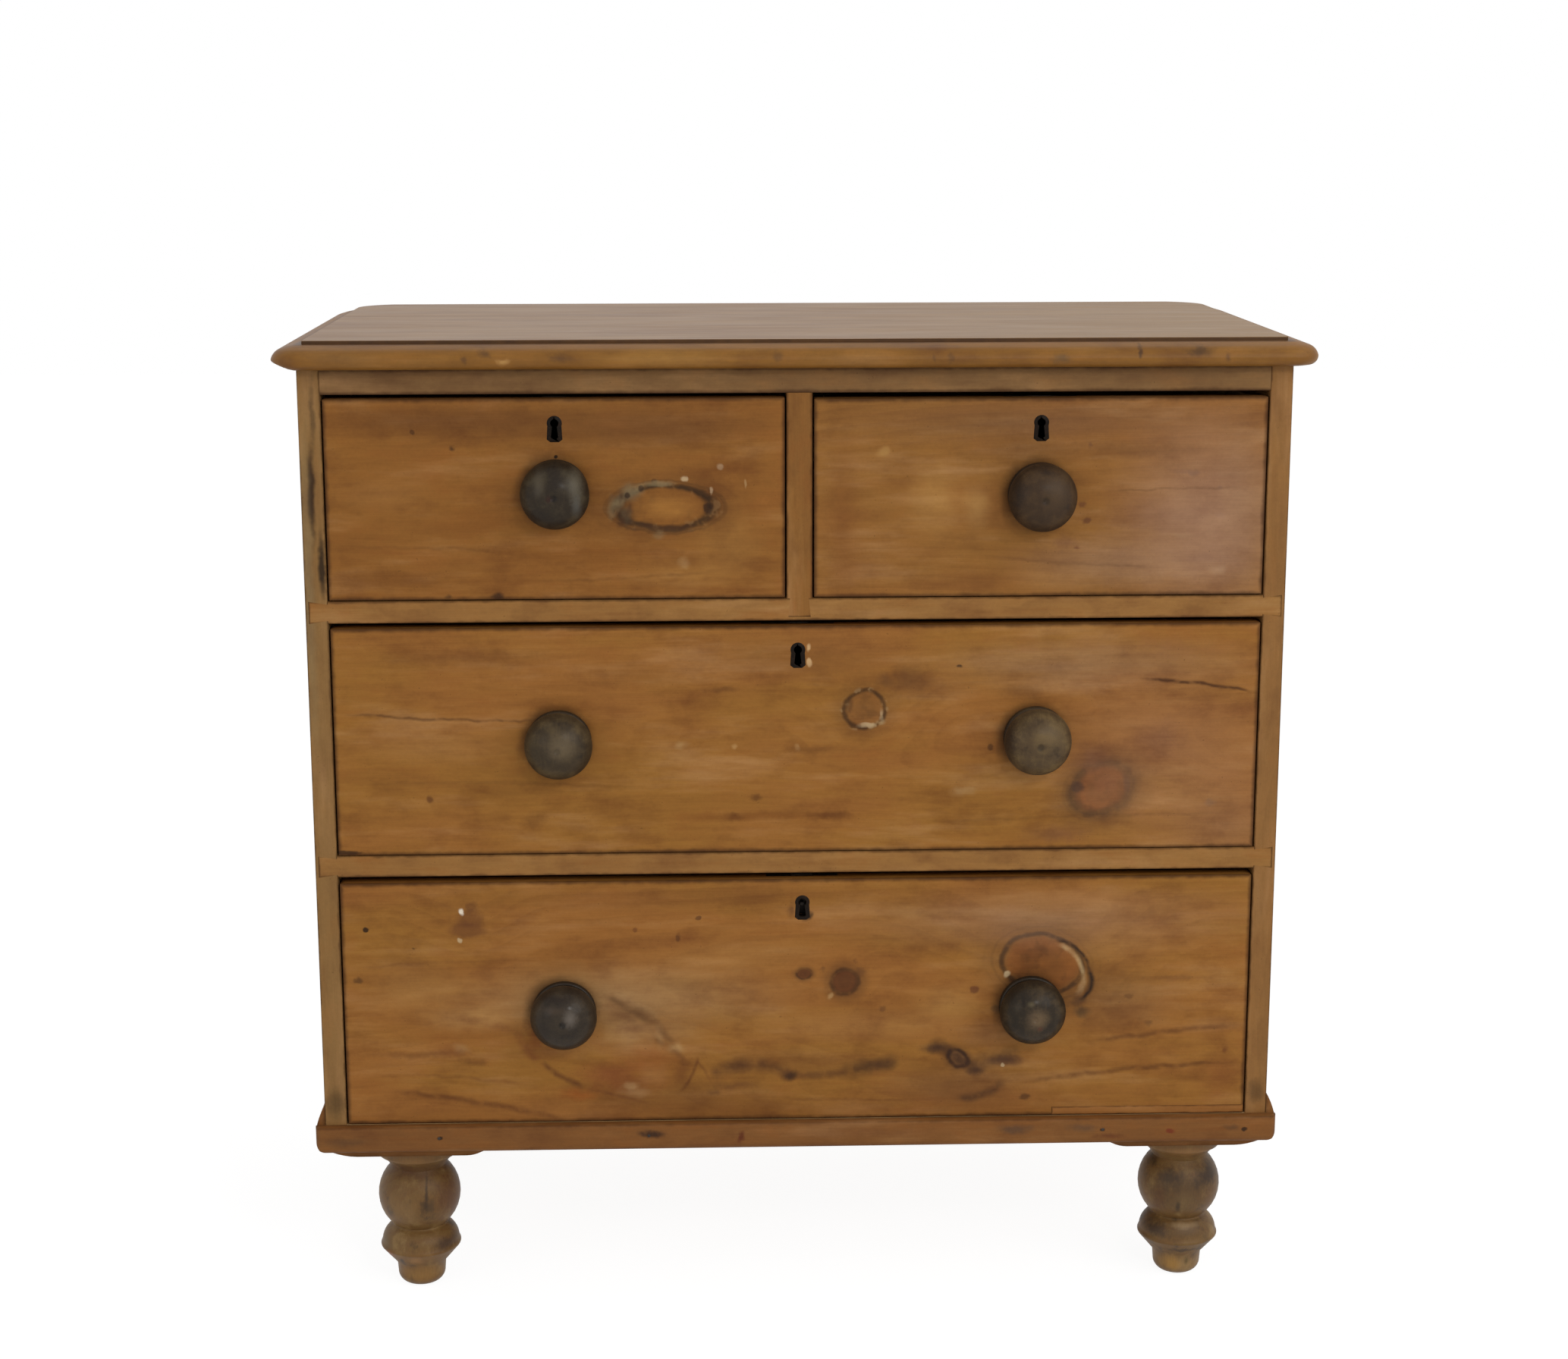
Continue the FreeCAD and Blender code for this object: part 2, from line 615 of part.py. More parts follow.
UPPER_FLOOR = UPPER_RAIL + RAIL_THICK
MIDDLE_FLOOR = LOWER_RAIL + RAIL_THICK
LEFT_DRAWER = Drawer(
    "left_drawer", -INNER, POST_LEFT, UPPER_FLOOR, SHORT_OPENING, LEFT_GAPS, LEFT_KNOB_HEIGHT
)
RIGHT_DRAWER = Drawer(
    "right_drawer", POST_RIGHT, INNER, UPPER_FLOOR, SHORT_OPENING, RIGHT_GAPS, RIGHT_KNOB_HEIGHT
)
MIDDLE_DRAWER = Drawer(
    "middle_drawer", -INNER, INNER, MIDDLE_FLOOR, MIDDLE_OPENING, MIDDLE_GAPS, MIDDLE_KNOB_HEIGHT, KNOB_SPREAD
)
BOTTOM_DRAWER = Drawer(
    "bottom_drawer", -INNER, INNER, FLOOR_TOP, BOTTOM_OPENING, BOTTOM_GAPS, BOTTOM_KNOB_HEIGHT, KNOB_SPREAD,
    KEY_SHIFT_BOTTOM,
)
DRAWERS = (LEFT_DRAWER, RIGHT_DRAWER, MIDDLE_DRAWER, BOTTOM_DRAWER)


def panel_space(d, play=0.0):
    """The bottom panel's own space in its grooves."""
    inset = DRAWER_SIDE_THICK - PANEL_IN_SIDE - play
    deep = (FRONT_THICK - PANEL_IN_FRONT - play, DRAWER_LENGTH)
    return box((d.left + inset, d.right - inset), deep, (d.panel_low, d.panel_high))


def front_tails(d, outer, inner):
    """Lapped dovetails at the front end of a drawer side that lies between two places across the drawer."""
    length = FRONT_THICK - LAP
    return [
        trapezoid(lambda u, v: V(outer, u, v), middle, FRONT_THICK, LAP, neck, end, V(inner - outer, 0, 0))
        for middle, neck, end in row_of_tails(d.low, d.side_high + EDGE_PIN / 2, d.tails, length)
    ]


def back_tails(d, outer, inner):
    """Through dovetails at the drawer side's back end."""
    root = DRAWER_LENGTH - DRAWER_BACK_THICK
    return [
        trapezoid(lambda u, v: V(outer, u, v), middle, root, DRAWER_LENGTH, neck, end, V(inner - outer, 0, 0))
        for middle, neck, end in row_of_tails(d.panel_high, d.back_high, d.tails - 1, DRAWER_BACK_THICK)
    ]


def side_spans(d):
    """Outer and inner faces of the left and the right drawer side."""
    return (d.left, d.left + DRAWER_SIDE_THICK), (d.right, d.right - DRAWER_SIDE_THICK)


def back_slab(d):
    deep = (DRAWER_LENGTH - DRAWER_BACK_THICK, DRAWER_LENGTH)
    return box((d.left, d.right), deep, (d.panel_high, d.back_high))


def drawer_side(d, outer, inner):
    across = (min(outer, inner), max(outer, inner))
    board = box(across, (FRONT_THICK, DRAWER_LENGTH), (d.side_low, d.side_high))
    board = without(board, back_slab(d))
    board = fused([board] + front_tails(d, outer, inner) + back_tails(d, outer, inner))
    return without(board, panel_space(d, PLAY))


def drawer_back(d):
    tails = [tail for span in side_spans(d) for tail in back_tails(d, *span)]
    return without(back_slab(d), *tails)


def keyhole(d):
    """A round eye over a slot that widens downwards, through the wood in front of the lock."""
    middle = d.high - KEY_DROP
    eye = middle + KEYHOLE_EYE_RISE
    round_part = Part.makeCylinder(KEYHOLE_RADIUS, LOCK_FACE + LOCK_WALL, V(d.key_x, 0, eye), V(0, 1, 0))
    narrow, wide = KEYHOLE_SLOT
    way = V(0, LOCK_FACE + LOCK_WALL, 0)
    return fused([round_part, trapezoid(hanging, d.key_x, eye, middle - KEYHOLE_DROP, narrow, wide, way)])


def knob_hole(d, x):
    return Part.makeCylinder(KNOB_TENON_RADIUS + PLAY / 2, FRONT_THICK, V(x, 0, d.knob_z), V(0, 1, 0))


def lock_outside(d):
    """The lock as the wood is cut for it: case, back plate and the selvedge along the top edge."""
    half = LOCK_WIDTH / 2
    wide = (d.key_x - half - LOCK_FLANGE, d.key_x + half + LOCK_FLANGE)
    case = box((d.key_x - half, d.key_x + half), (LOCK_FACE, FRONT_THICK), (d.high - LOCK_HEIGHT, d.high))
    plate = box(wide, (FRONT_THICK - LOCK_PLATE, FRONT_THICK), (d.high - LOCK_HEIGHT, d.high))
    selvedge = box(wide, (LOCK_FACE, FRONT_THICK), (d.high - LOCK_PLATE, d.high))
    return fused([case, plate, selvedge])


def patch(d):
    return box((d.right - PATCH_LENGTH, d.right), (0, FRONT_THICK), (d.low, d.low + PATCH_HEIGHT))


def drawer_front(d):
    board = box((d.left, d.right), (0, FRONT_THICK), (d.low, d.high))
    tails = [tail for span in side_spans(d) for tail in front_tails(d, *span)]
    holes = [knob_hole(d, x) for x in d.knobs]
    board = without(board, *tails, *holes, panel_space(d, PLAY), lock_outside(d), keyhole(d))
    return without(board, patch(d)) if d is BOTTOM_DRAWER else board


def bolt_space(d, width, low, high, play):
    """Room in the case for a stretch of the bolt."""
    half = width / 2 + play
    half_thick = BOLT_THICK / 2 + play
    deep = (BOLT_MIDDLE - half_thick, BOLT_MIDDLE + half_thick)
    return box((d.key_x - half, d.key_x + half), deep, (low, high))


def lock_case(d):
    """A till lock's case, with a pocket for the bolt, a chamber for the key's bit and a pin for the key."""
    bolt_low = d.high - BOLT_SINK - BOLT_LENGTH
    key_middle = d.high - KEY_DROP
    chamber_radius = bolt_low - key_middle + PLAY
    depth = LOCK_THICK - 2 * LOCK_WALL
    start = V(d.key_x, LOCK_FACE + LOCK_WALL, key_middle)
    chamber = Part.makeCylinder(chamber_radius, depth, start, V(0, 1, 0))
    pocket = bolt_space(d, BOLT_TAIL_WIDTH, bolt_low - PLAY, d.high - LOCK_PLATE, PLAY)
    mouth = bolt_space(d, BOLT_WIDTH, d.high - LOCK_PLATE - PLAY, d.high, PLAY)
    case = without(lock_outside(d), chamber, pocket, mouth, keyhole(d))
    pin = Part.makeCylinder(KEY_PIN_RADIUS, depth + LOCK_WALL, start, V(0, 1, 0))
    return fused([case, pin])


def lock_bolt(d):
    high = d.high - BOLT_SINK
    low = high - BOLT_LENGTH
    head = bolt_space(d, BOLT_WIDTH, low, high, 0)
    tail = bolt_space(d, BOLT_TAIL_WIDTH, low, low + BOLT_TAIL_HEIGHT, 0)
    return fused([head, tail])


def knob(d, x):
    """A turned knob: flange, neck, domed head with a dimple, and a tenon through the drawer's front."""
    head_edge = KNOB_RADIUS - 4
    splay = (KNOB_HEAD_START - KNOB_FLANGE_THICK) / 4
    cove_edge = KNOB_NECK_RADIUS + splay
    rise = KNOB_REACH - KNOB_WIDEST
    radius = ((KNOB_RADIUS - KNOB_DIMPLE_RADIUS) ** 2 + rise ** 2) / (2 * rise)
    halfway = 45 + math.degrees(math.asin(1 - rise / radius)) / 2
    dome = rounding(KNOB_DIMPLE_RADIUS, KNOB_REACH - radius, radius, halfway)
    section = outline(
        lambda u, v: V(u, -v, 0),
        (0, -FRONT_THICK),
        (KNOB_TENON_RADIUS, -FRONT_THICK),
        (KNOB_TENON_RADIUS, 0),
        (KNOB_FLANGE_RADIUS - 1, 0),
        (KNOB_FLANGE_RADIUS, KNOB_FLANGE_THICK * 0.4),
        (KNOB_FLANGE_RADIUS - 2, KNOB_FLANGE_THICK),
        (cove_edge, KNOB_FLANGE_THICK),
        (KNOB_NECK_RADIUS, KNOB_FLANGE_THICK + splay),
        (KNOB_NECK_RADIUS, KNOB_HEAD_START - splay),
        (cove_edge, KNOB_HEAD_START),
        (head_edge, KNOB_HEAD_START),
        (KNOB_RADIUS - 0.6, (KNOB_HEAD_START + KNOB_WIDEST) / 2, KNOB_RADIUS, KNOB_WIDEST),
        dome + (KNOB_DIMPLE_RADIUS, KNOB_REACH),
        (KNOB_DIMPLE_RADIUS / 2, KNOB_REACH - KNOB_DIMPLE_DEPTH),
        (0, KNOB_REACH - KNOB_DIMPLE_DEPTH),
    )
    return turned(section, V(0, 1, 0), V(x, 0, d.knob_z))


def drawer_pieces(d):
    left, right = side_spans(d)
    pieces = {
        "front": drawer_front(d),
        "side_left": drawer_side(d, *left),
        "side_right": drawer_side(d, *right),
        "back": drawer_back(d),
        "bottom_panel": panel_space(d),
        "lock": lock_case(d),
        "bolt": lock_bolt(d),
    }
    ends = ("",) if len(d.knobs) == 1 else ("_left", "_right")
    for end, x in zip(ends, d.knobs):
        pieces["knob" + end] = knob(d, x)
    if d is BOTTOM_DRAWER:
        pieces["patch"] = patch(d)
    return {f"{d.name}_{piece}": shape for piece, shape in pieces.items()}


# ---- the whole chest -----------------------------------------------------------------------------
def carcass_pieces():
    side = side_board()
    moulding = base_side()
    side_runners = [(-SIDE_RUNNER_X, RUNNER_WIDTH), (SIDE_RUNNER_X, RUNNER_WIDTH)]
    upper_runners = side_runners + [(POST_SHIFT, CENTRE_RUNNER_WIDTH)]
    middle_mortise = bolt_mortise(MIDDLE_DRAWER.key_x, UPPER_RAIL, MIDDLE_DRAWER.gap_above)
    bottom_mortise = bolt_mortise(BOTTOM_DRAWER.key_x, LOWER_RAIL, BOTTOM_DRAWER.gap_above)
    pieces = {
        "top_board": top_board(),
        "side_left": mirrored(side),
        "side_right": side,
        "bottom_board": bottom_board(),
        "back_boards": back_boards(),
        "top_rail": top_rail(),
        "upper_rail": rail(UPPER_RAIL, upper_runners, [post_tail(), middle_mortise]),
        "lower_rail": rail(LOWER_RAIL, side_runners, [bottom_mortise]),
        "divider_post": divider_post(),
        "centre_guide": centre_guide(),
        "kickers": kickers(),
        "drawer_stops": drawer_stops(),
        "base_moulding_front": base_front(),
        "base_moulding_left": mirrored(moulding),
        "base_moulding_right": moulding,
        "foot_blocks": foot_blocks(),
    }
    for name, (centre, width) in zip(("left", "right", "centre"), upper_runners):
        pieces[f"runner_upper_{name}"] = runner(centre, width, UPPER_RAIL)
    for name, (centre, width) in zip(("left", "right"), side_runners):
        pieces[f"runner_lower_{name}"] = runner(centre, width, LOWER_RAIL)
    for end, y in zip(("front", "back"), FOOT_Y):
        for side, x in zip(("left", "right"), FOOT_X):
            pieces[f"foot_{end}_{side}"] = foot(x, y)
    return pieces


def main():
    os.makedirs("parts", exist_ok=True)
    pieces = carcass_pieces()
    for drawer in DRAWERS:
        pieces.update(drawer_pieces(drawer))
    for name, shape in pieces.items():
        shape.translate(V(0, -MIDDLE_OF_FOOTPRINT, 0))
        shape.exportStep(f"parts/{name}.step")


main()
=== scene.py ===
import json
import math

import bmesh
import bpy
from bpy.props import FloatProperty, FloatVectorProperty, IntProperty, PointerProperty
from mathutils import Matrix, Vector, noise


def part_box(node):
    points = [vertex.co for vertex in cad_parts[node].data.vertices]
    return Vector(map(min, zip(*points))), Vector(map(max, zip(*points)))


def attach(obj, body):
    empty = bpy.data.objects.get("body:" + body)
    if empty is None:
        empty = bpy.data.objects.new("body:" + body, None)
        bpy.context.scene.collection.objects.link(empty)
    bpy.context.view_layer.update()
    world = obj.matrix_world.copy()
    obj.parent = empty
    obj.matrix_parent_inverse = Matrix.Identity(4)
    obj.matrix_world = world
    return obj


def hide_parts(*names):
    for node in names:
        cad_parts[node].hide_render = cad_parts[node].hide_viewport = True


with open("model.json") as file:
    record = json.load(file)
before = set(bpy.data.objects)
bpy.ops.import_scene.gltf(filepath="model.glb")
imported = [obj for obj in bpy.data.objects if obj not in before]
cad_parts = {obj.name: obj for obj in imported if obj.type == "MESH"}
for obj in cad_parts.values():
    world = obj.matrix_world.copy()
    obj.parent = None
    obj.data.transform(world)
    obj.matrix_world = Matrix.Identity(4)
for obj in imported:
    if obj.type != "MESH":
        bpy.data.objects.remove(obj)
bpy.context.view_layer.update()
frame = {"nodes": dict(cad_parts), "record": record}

bl_info = {
    "name": "Pine Bachelors Chest",
    "version": (1, 0, 0),
    "blender": (4, 5, 0),
    "location": "View3D > Sidebar > Chest",
    "description": "Dresses the chest's boards, turnings and locks in old waxed pine, dark wood and iron",
    "category": "Object",
}

MM = 0.001
DRAWERS = ("left_drawer", "right_drawer", "middle_drawer", "bottom_drawer")
KNOBS = (
    "left_drawer_knob",
    "right_drawer_knob",
    "middle_drawer_knob_left",
    "middle_drawer_knob_right",
    "bottom_drawer_knob_left",
    "bottom_drawer_knob_right",
)
FEET = ("foot_front_left", "foot_front_right", "foot_back_left", "foot_back_right")
BACK_BOARDS = 6
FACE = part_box("left_drawer_front")[0].y / MM   # the plane of the drawer fronts, in millimetres
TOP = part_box("top_board")[1].z / MM   # the level of the top's flat, in millimetres
BASE_NAILS = (-139.3, 285.2, -334.1)   # where the base moulding's nails stand across the chest
BASE_NAIL_LEVEL = 167.6


def srgb(red, green, blue):
    """A colour written in screen values from 0 to 255, as the linear colour that sockets take."""
    screen = (red / 255, green / 255, blue / 255)
    return tuple(v / 12.92 if v <= 0.04045 else ((v + 0.055) / 1.055) ** 2.4 for v in screen)


def body_of(node):
    return next(body for body, nodes in frame["record"]["behaviour"]["bodies"].items() if node in nodes)


def slot_of(node):
    return next(part["material_slot"] for part in frame["record"]["subparts"] if part["node"] == node)


# ---- settings ------------------------------------------------------------------------------------
def tone(name, description, colour):
    return FloatVectorProperty(
        name=name, description=description, default=srgb(*colour), subtype="COLOR", min=0, max=1
    )


def length(name, description, millimetres):
    return FloatProperty(
        name=name, description=description, default=millimetres * MM, min=0, unit="LENGTH", precision=4
    )


def power(name, description, watts):
    return FloatProperty(name=name, description=description, default=watts, min=0, subtype="POWER")


class ChestColours(bpy.types.PropertyGroup):
    """The tones of the chest's finishes."""

    early: tone("Early wood", "Waxed pine between the growth lines", (145, 95, 44))
    gold: tone("Golden wood", "Waxed pine where it has turned golden", (143, 97, 41))
    late: tone("Late wood", "The growth lines of the waxed pine", (92, 52, 20))
    red: tone("Red patina", "Warm patches in the wax", (114, 66, 28))
    haze: tone("Haze", "Pale grey bloom on the wax", (154, 114, 76))
    stile: tone("Stile wood", "The paler wood of the carcass edges", (136, 96, 53))
    # worn wax on the top's flat, made paler to paint the sheen of light off it
    worn_and_sheen_top: tone("Worn top", "The flat of the top, where the wax has gone", (160, 131, 102))
    # dirt along the joints, and also the painted shade in a knob's neck
    grime_and_shade: tone("Grime", "Old dirt along the joints", (34, 24, 15))
    raw_early: tone("Raw early wood", "Unfinished pine between the growth lines", (188, 150, 100))
    raw_late: tone("Raw late wood", "The growth lines of the unfinished pine", (146, 98, 54))
    dust: tone("Dust", "Grey on the hidden faces", (126, 104, 76))
    foot: tone("Foot wood", "The turned feet", (108, 79, 42))
    iron: tone("Iron", "The locks and the nails", (58, 50, 44))
    lining: tone("Lining", "The dull metal that lines the keyholes", (20, 14, 9))
    floor: tone("Floor", "The pale floor", (240, 240, 240))


class ChestSizes(bpy.types.PropertyGroup):
    """The sizes of what is added to the chest."""

    arris: length("Worn arris", "Rounding of the boards' edges", 1.0)
    top_arris: length("Top's arris", "Rounding of the edges on the moulded top", 0.6)
    lining_wall: length("Lining wall", "Thickness of the metal in a keyhole", 0.35)
    lining_lip: length("Lining lip", "Width of the keyhole lining's rim", 2.8)
    lining_stand: length("Lining stand", "How far the rim stands out of the wood", 0.25)
    nail: length("Nail head", "Radius of a nail head", 1.7)
    turning_steps: IntProperty(
        name="Turning steps", description="Facets round a turned piece", default=96, min=24, max=256
    )
    dent: length("Knob dents", "How unevenly the knobs have worn", 0.35)
    foot_dent: length("Foot dents", "How unevenly the feet have worn", 0.12)
    nose_wear: length("Nose wear", "How much of the top's left end has worn away from below", 8.0)


class ChestStage(bpy.types.PropertyGroup):
    """The camera and the light."""

    key: power("Key light", "Power of the large soft lamp", 34.0)
    window: power("Window light", "Power of the small lamp near the camera", 11.0)
    fill: power("Fill light", "Power of the lamp on the left", 10.0)
    room: FloatProperty(
        name="Room light", description="Strength of the light from all round", default=0.6, min=0
    )
    white: FloatProperty(
        name="White share", description="How much of the floor shows as plain white", default=0.82,
        subtype="FACTOR", min=0, max=1,
    )
    lens: FloatProperty(
        name="Lens", description="Focal length of the camera", default=61.58 * MM, unit="CAMERA", precision=5
    )


def colours():
    return bpy.context.scene.chest_colours


def sizes():
    return bpy.context.scene.chest_sizes


# ---- finishes ------------------------------------------------------------------------------------
class Signal:
    """A value somewhere in a tree of nodes. Arithmetic on it adds Math nodes."""

    def __init__(self, nodes, socket):
        self.nodes = nodes
        self.socket = socket

    def math(self, operation, *values):
        return self.nodes.node("ShaderNodeMath", {"operation": operation}, dict(enumerate((self, *values))))

    def __add__(self, other):
        return self.math("ADD", other)

    def __sub__(self, other):
        return self.math("SUBTRACT", other)

    def __rsub__(self, other):
        return self.nodes.node("ShaderNodeMath", {"operation": "SUBTRACT"}, {0: other, 1: self})

    def __mul__(self, other):
        return self.math("MULTIPLY", other)

    def __truediv__(self, other):
        return self.math("DIVIDE", other)

    def __abs__(self):
        return self.math("ABSOLUTE")

    __radd__ = __add__
    __rmul__ = __mul__

    def least(self, other):
        return self.math("MINIMUM", other)

    def most(self, other):
        return self.math("MAXIMUM", other)

    def root(self):
        return self.math("SQRT")

    def part(self):
        """What is left over a whole number."""
        return self.math("FRACT")

    def fade(self, nothing, full, height=1.0):
        """0 at one value and a height at the other, with soft ends."""
        sockets = {0: self, 1: nothing, 2: full, 4: height}
        return self.nodes.node("ShaderNodeMapRange", {"interpolation_type": "SMOOTHSTEP"}, sockets)


class Nodes:
    """A tree of nodes that a finish or the room is drawn with."""

    def __init__(self, tree):
        self.tree = tree

    def node(self, kind, settings, sockets, output=0):
        """Adds a node: its settings first, then the values or links of its sockets."""
        node = self.tree.nodes.new(kind)
        for name, value in settings.items():
            setattr(node, name, value)
        for key, value in sockets.items():
            target = node.inputs[key]
            if isinstance(value, Signal):
                self.link(value, target)
            elif target.type == "RGBA":
                target.default_value = (*value[:3], 1.0)
            else:
                target.default_value = value
        return Signal(self, node.outputs[output])

    def link(self, signal, socket):
        self.tree.links.new(signal.socket, socket)

    def seen(self):
        """1 for what the camera sees, also in a gloss or through glass, and 0 for light on its way."""
        rays = ("Is Camera Ray", "Is Glossy Ray", "Is Transmission Ray")
        camera, glossy, through = (self.node("ShaderNodeLightPath", {}, {}, ray) for ray in rays)
        return camera.most(glossy.most(through))


class Finish(Nodes):
    """A material and its nodes. Places are in millimetres, in the chest's own frame."""

    def __init__(self, name, **fixed):
        self.material = bpy.data.materials.new(name)
        self.material.use_nodes = True
        super().__init__(self.material.node_tree)
        self.shader = self.tree.nodes["Principled BSDF"]
        for socket, value in fixed.items():
            self.shader.inputs[socket.replace("_", " ").title().replace("Ior", "IOR")].default_value = value
        place = self.node("ShaderNodeTexCoord", {}, {}, "Object")
        self.place = self.spread(place, (1 / MM, 1 / MM, 1 / MM))
        split = self.node("ShaderNodeSeparateXYZ", {}, {0: self.place})
        self.x, self.y, self.z = (Signal(self, socket) for socket in split.socket.node.outputs)

    def spread(self, place, scale, shift=(0, 0, 0)):
        """A place multiplied along each axis, then moved."""
        sockets = {0: place, 1: scale, 2: shift}
        return self.node("ShaderNodeVectorMath", {"operation": "MULTIPLY_ADD"}, sockets)

    def jog(self, wide, size, seed):
        """Shifts the places that marks go by, so that their outlines get ragged."""
        point = self.spread(self.place, [1 / wide] * 3, (seed, 0, 0))
        sockets = {"Vector": point, "Scale": 1.0, "Detail": 2.0, "Roughness": 0.6}
        shift = self.node("ShaderNodeTexNoise", {}, sockets, "Color")
        shift = self.spread(shift, [size] * 3, [-size / 2] * 3)
        self.place = self.node("ShaderNodeVectorMath", {"operation": "ADD"}, {0: self.place, 1: shift})

    def toward(self, direction, start):
        """How far along a direction a place lies, counted from a start."""
        sockets = {0: self.place, 1: direction}
        along = self.node("ShaderNodeVectorMath", {"operation": "DOT_PRODUCT"}, sockets, "Value")
        return along - Vector(direction).dot(Vector(start))

    def cloud(self, wide, detail, seed, rough=0.5):
        """Noise from 0 to 1 whose patches are as wide as given along X, Y and Z."""
        point = self.spread(self.place, [1 / size for size in wide], (seed, 0, 0))
        sockets = {"Vector": point, "Scale": 1.0, "Detail": detail, "Roughness": rough}
        return self.node("ShaderNodeTexNoise", {}, sockets)

    def mix(self, share, under, over, blend="MIX"):
        settings = {"data_type": "RGBA", "blend_type": blend}
        return self.node("ShaderNodeMix", settings, {0: share, 6: under, 7: over}, 2)

    def shade(self, value):
        """A grey of that level, for multiplying colours."""
        return self.node("ShaderNodeCombineColor", {}, {0: value, 1: value, 2: value})

    def oval(self, x, z, wide, high):
        """How far out of an oval on the front a place is: 0 in its middle and 1 on its line."""
        place = self.spread(self.place, (1 / wide, 0, 1 / high), (-x / wide, 0, -z / high))
        return self.node("ShaderNodeVectorMath", {"operation": "LENGTH"}, {0: place}, "Value")

    def spot(self, x, z, wide, high, soft, ragged, torn, share):
        """An oval patch on the front, full in its middle and torn at its edge."""
        reach = ragged.math("MULTIPLY_ADD", torn, self.oval(x, z, wide, high))
        return reach.fade(1.0, 1.0 - soft, share)

    def streak(self, start, end, width, bow, share):
        """A line on the front between two points, bowed by an amount and thinning out to its ends."""
        run = (end[0] - start[0], end[1] - start[1])
        reach = math.hypot(*run)
        start = (start[0], 0, start[1])
        along = self.toward((run[0] / reach, 0, run[1] / reach), start)
        off = self.toward((-run[1] / reach, 0, run[0] / reach), start)
        if bow:
            off = off - along * (reach - along) * (4 * bow / reach ** 2)
        taper = along.fade(0, reach * 0.2) * along.fade(reach, reach * 0.8)
        return abs(off).fade(width, 0, share) * taper

    def paint(self, colour, roughness, height, depth, strength, **links):
        """Feeds the shader. A height of 1 stands out by the depth, in millimetres."""
        sockets = {"Strength": strength, "Distance": depth * MM, "Height": height}
        normal = self.node("ShaderNodeBump", {}, sockets)
        inputs = {"Base Color": colour, "Roughness": roughness, "Normal": normal, **links}
        for name, value in inputs.items():
            self.link(value, self.shader.inputs[name])
        return self.material


LATE_SHARE = 0.13   # how much the growth lines show under the wax
SMEAR = 0.7   # a mark softer than this lies in the wax, and a harder one is dented into the wood


class Grain:
    """The growth of one board: how its lines run along it and round its knots.

    The order names the axes along the board, across its face and through it. The tree's heart lies behind
    the board's middle, and leans and swirls along it.
    """

    def __init__(self, finish, order, middle, seed, pitch, behind, lean=0.05, swirl=20.0):
        self.finish = finish
        self.order = order
        self.seed = seed
        self.pitch = pitch
        axes = {"x": finish.x, "y": finish.y, "z": finish.z}
        along, across, deep = (axes[letter] for letter in order)
        centre = dict(zip("xyz", middle))
        slow = finish.cloud(self.sized(420.0, 120.0), 1.0, seed)
        quick = finish.cloud(self.sized(70.0, 15.0), 2.0, seed + 31)
        side = across - centre[order[1]] + (slow - 0.5) * (3.0 * swirl)
        rise = (along - centre[order[0]]) * lean
        back = deep - centre[order[2]] - behind + rise + (slow - 0.5) * swirl
        self.reach = (side * side + back * back).root() + (quick - 0.5) * 3.2

    def bend(self, x, z, wide, high, lift):
        """Makes the lines part round a place on the front."""
        f = self.finish
        self.reach = self.reach + f.oval(x, z, wide, high).fade(2.2, 0.0, lift)

    def sized(self, along, across):
        """Widths along X, Y and Z for a cloud that follows the grain."""
        wide = dict(zip(self.order, (along, across, across)))
        return [wide[letter] for letter in "xyz"]

    def late(self):
        """1 on the dark late wood of each year, 0 between. The year ends sharply and starts softly."""
        year = (self.reach / self.pitch).part()
        return year.fade(0.35, 0.92) * year.fade(1.0, 0.94)

    def years(self):
        """How strongly each year shows, which changes slowly across the board."""
        return (self.reach / (self.pitch * 3.7) + self.seed).math("SINE") * 0.25 + 0.75


def edge_dirt(finish, node, width, ragged):
    """Old dirt along the arrises of a board."""
    low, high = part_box(node)
    gaps = [
        (axis - least / MM).least(most / MM - axis)
        for axis, least, most in zip((finish.x, finish.y, finish.z), low, high)
    ]
    nearest = gaps[0].least(gaps[1]).most(gaps[0].most(gaps[1]).least(gaps[2]))
    return (nearest + ragged).fade(width, 0.0)


class Knot:
    """A knot's looks: its heart, the bark line round it, its chips and ripples, and dirt about it."""

    def __init__(
        self, heart, share, ring=(44, 27, 16), line=0.16, dark=0.85, ripples=0.25, halo=0.3, tilt=0.0,
        chips=0.0,
    ):
        self.heart = heart
        self.share = share
        self.ring = ring
        self.line = line
        self.dark = dark
        self.ripples = ripples
        self.halo = halo
        self.tilt = tilt
        self.chips = chips


BARE_KNOT = Knot((136, 86, 34), 0.4, (38, 28, 17), line=0.24, dark=0.8, ripples=0.3, chips=0.15)
RING_KNOT = Knot((126, 80, 38), 0.6, line=0.2, dark=0.75, ripples=0.0, chips=0.4)
RED_KNOT = Knot((120, 68, 36), 0.7, (52, 36, 24), line=0.34, dark=0.62, ripples=0.15, halo=0.5, tilt=25.0)
ORANGE_KNOT = Knot((126, 74, 34), 0.75, (52, 33, 20), line=0.12, dark=0.75, ripples=0.15, tilt=-14.0)
DARK_KNOT = Knot((124, 84, 48), 0.75, (36, 21, 14), line=0.45, ripples=0.0, halo=0.55, tilt=-35.0)
PIN_KNOT = Knot((84, 46, 24), 0.8, (50, 29, 18), line=0.3, dark=0.65, ripples=0.1, halo=0.45)


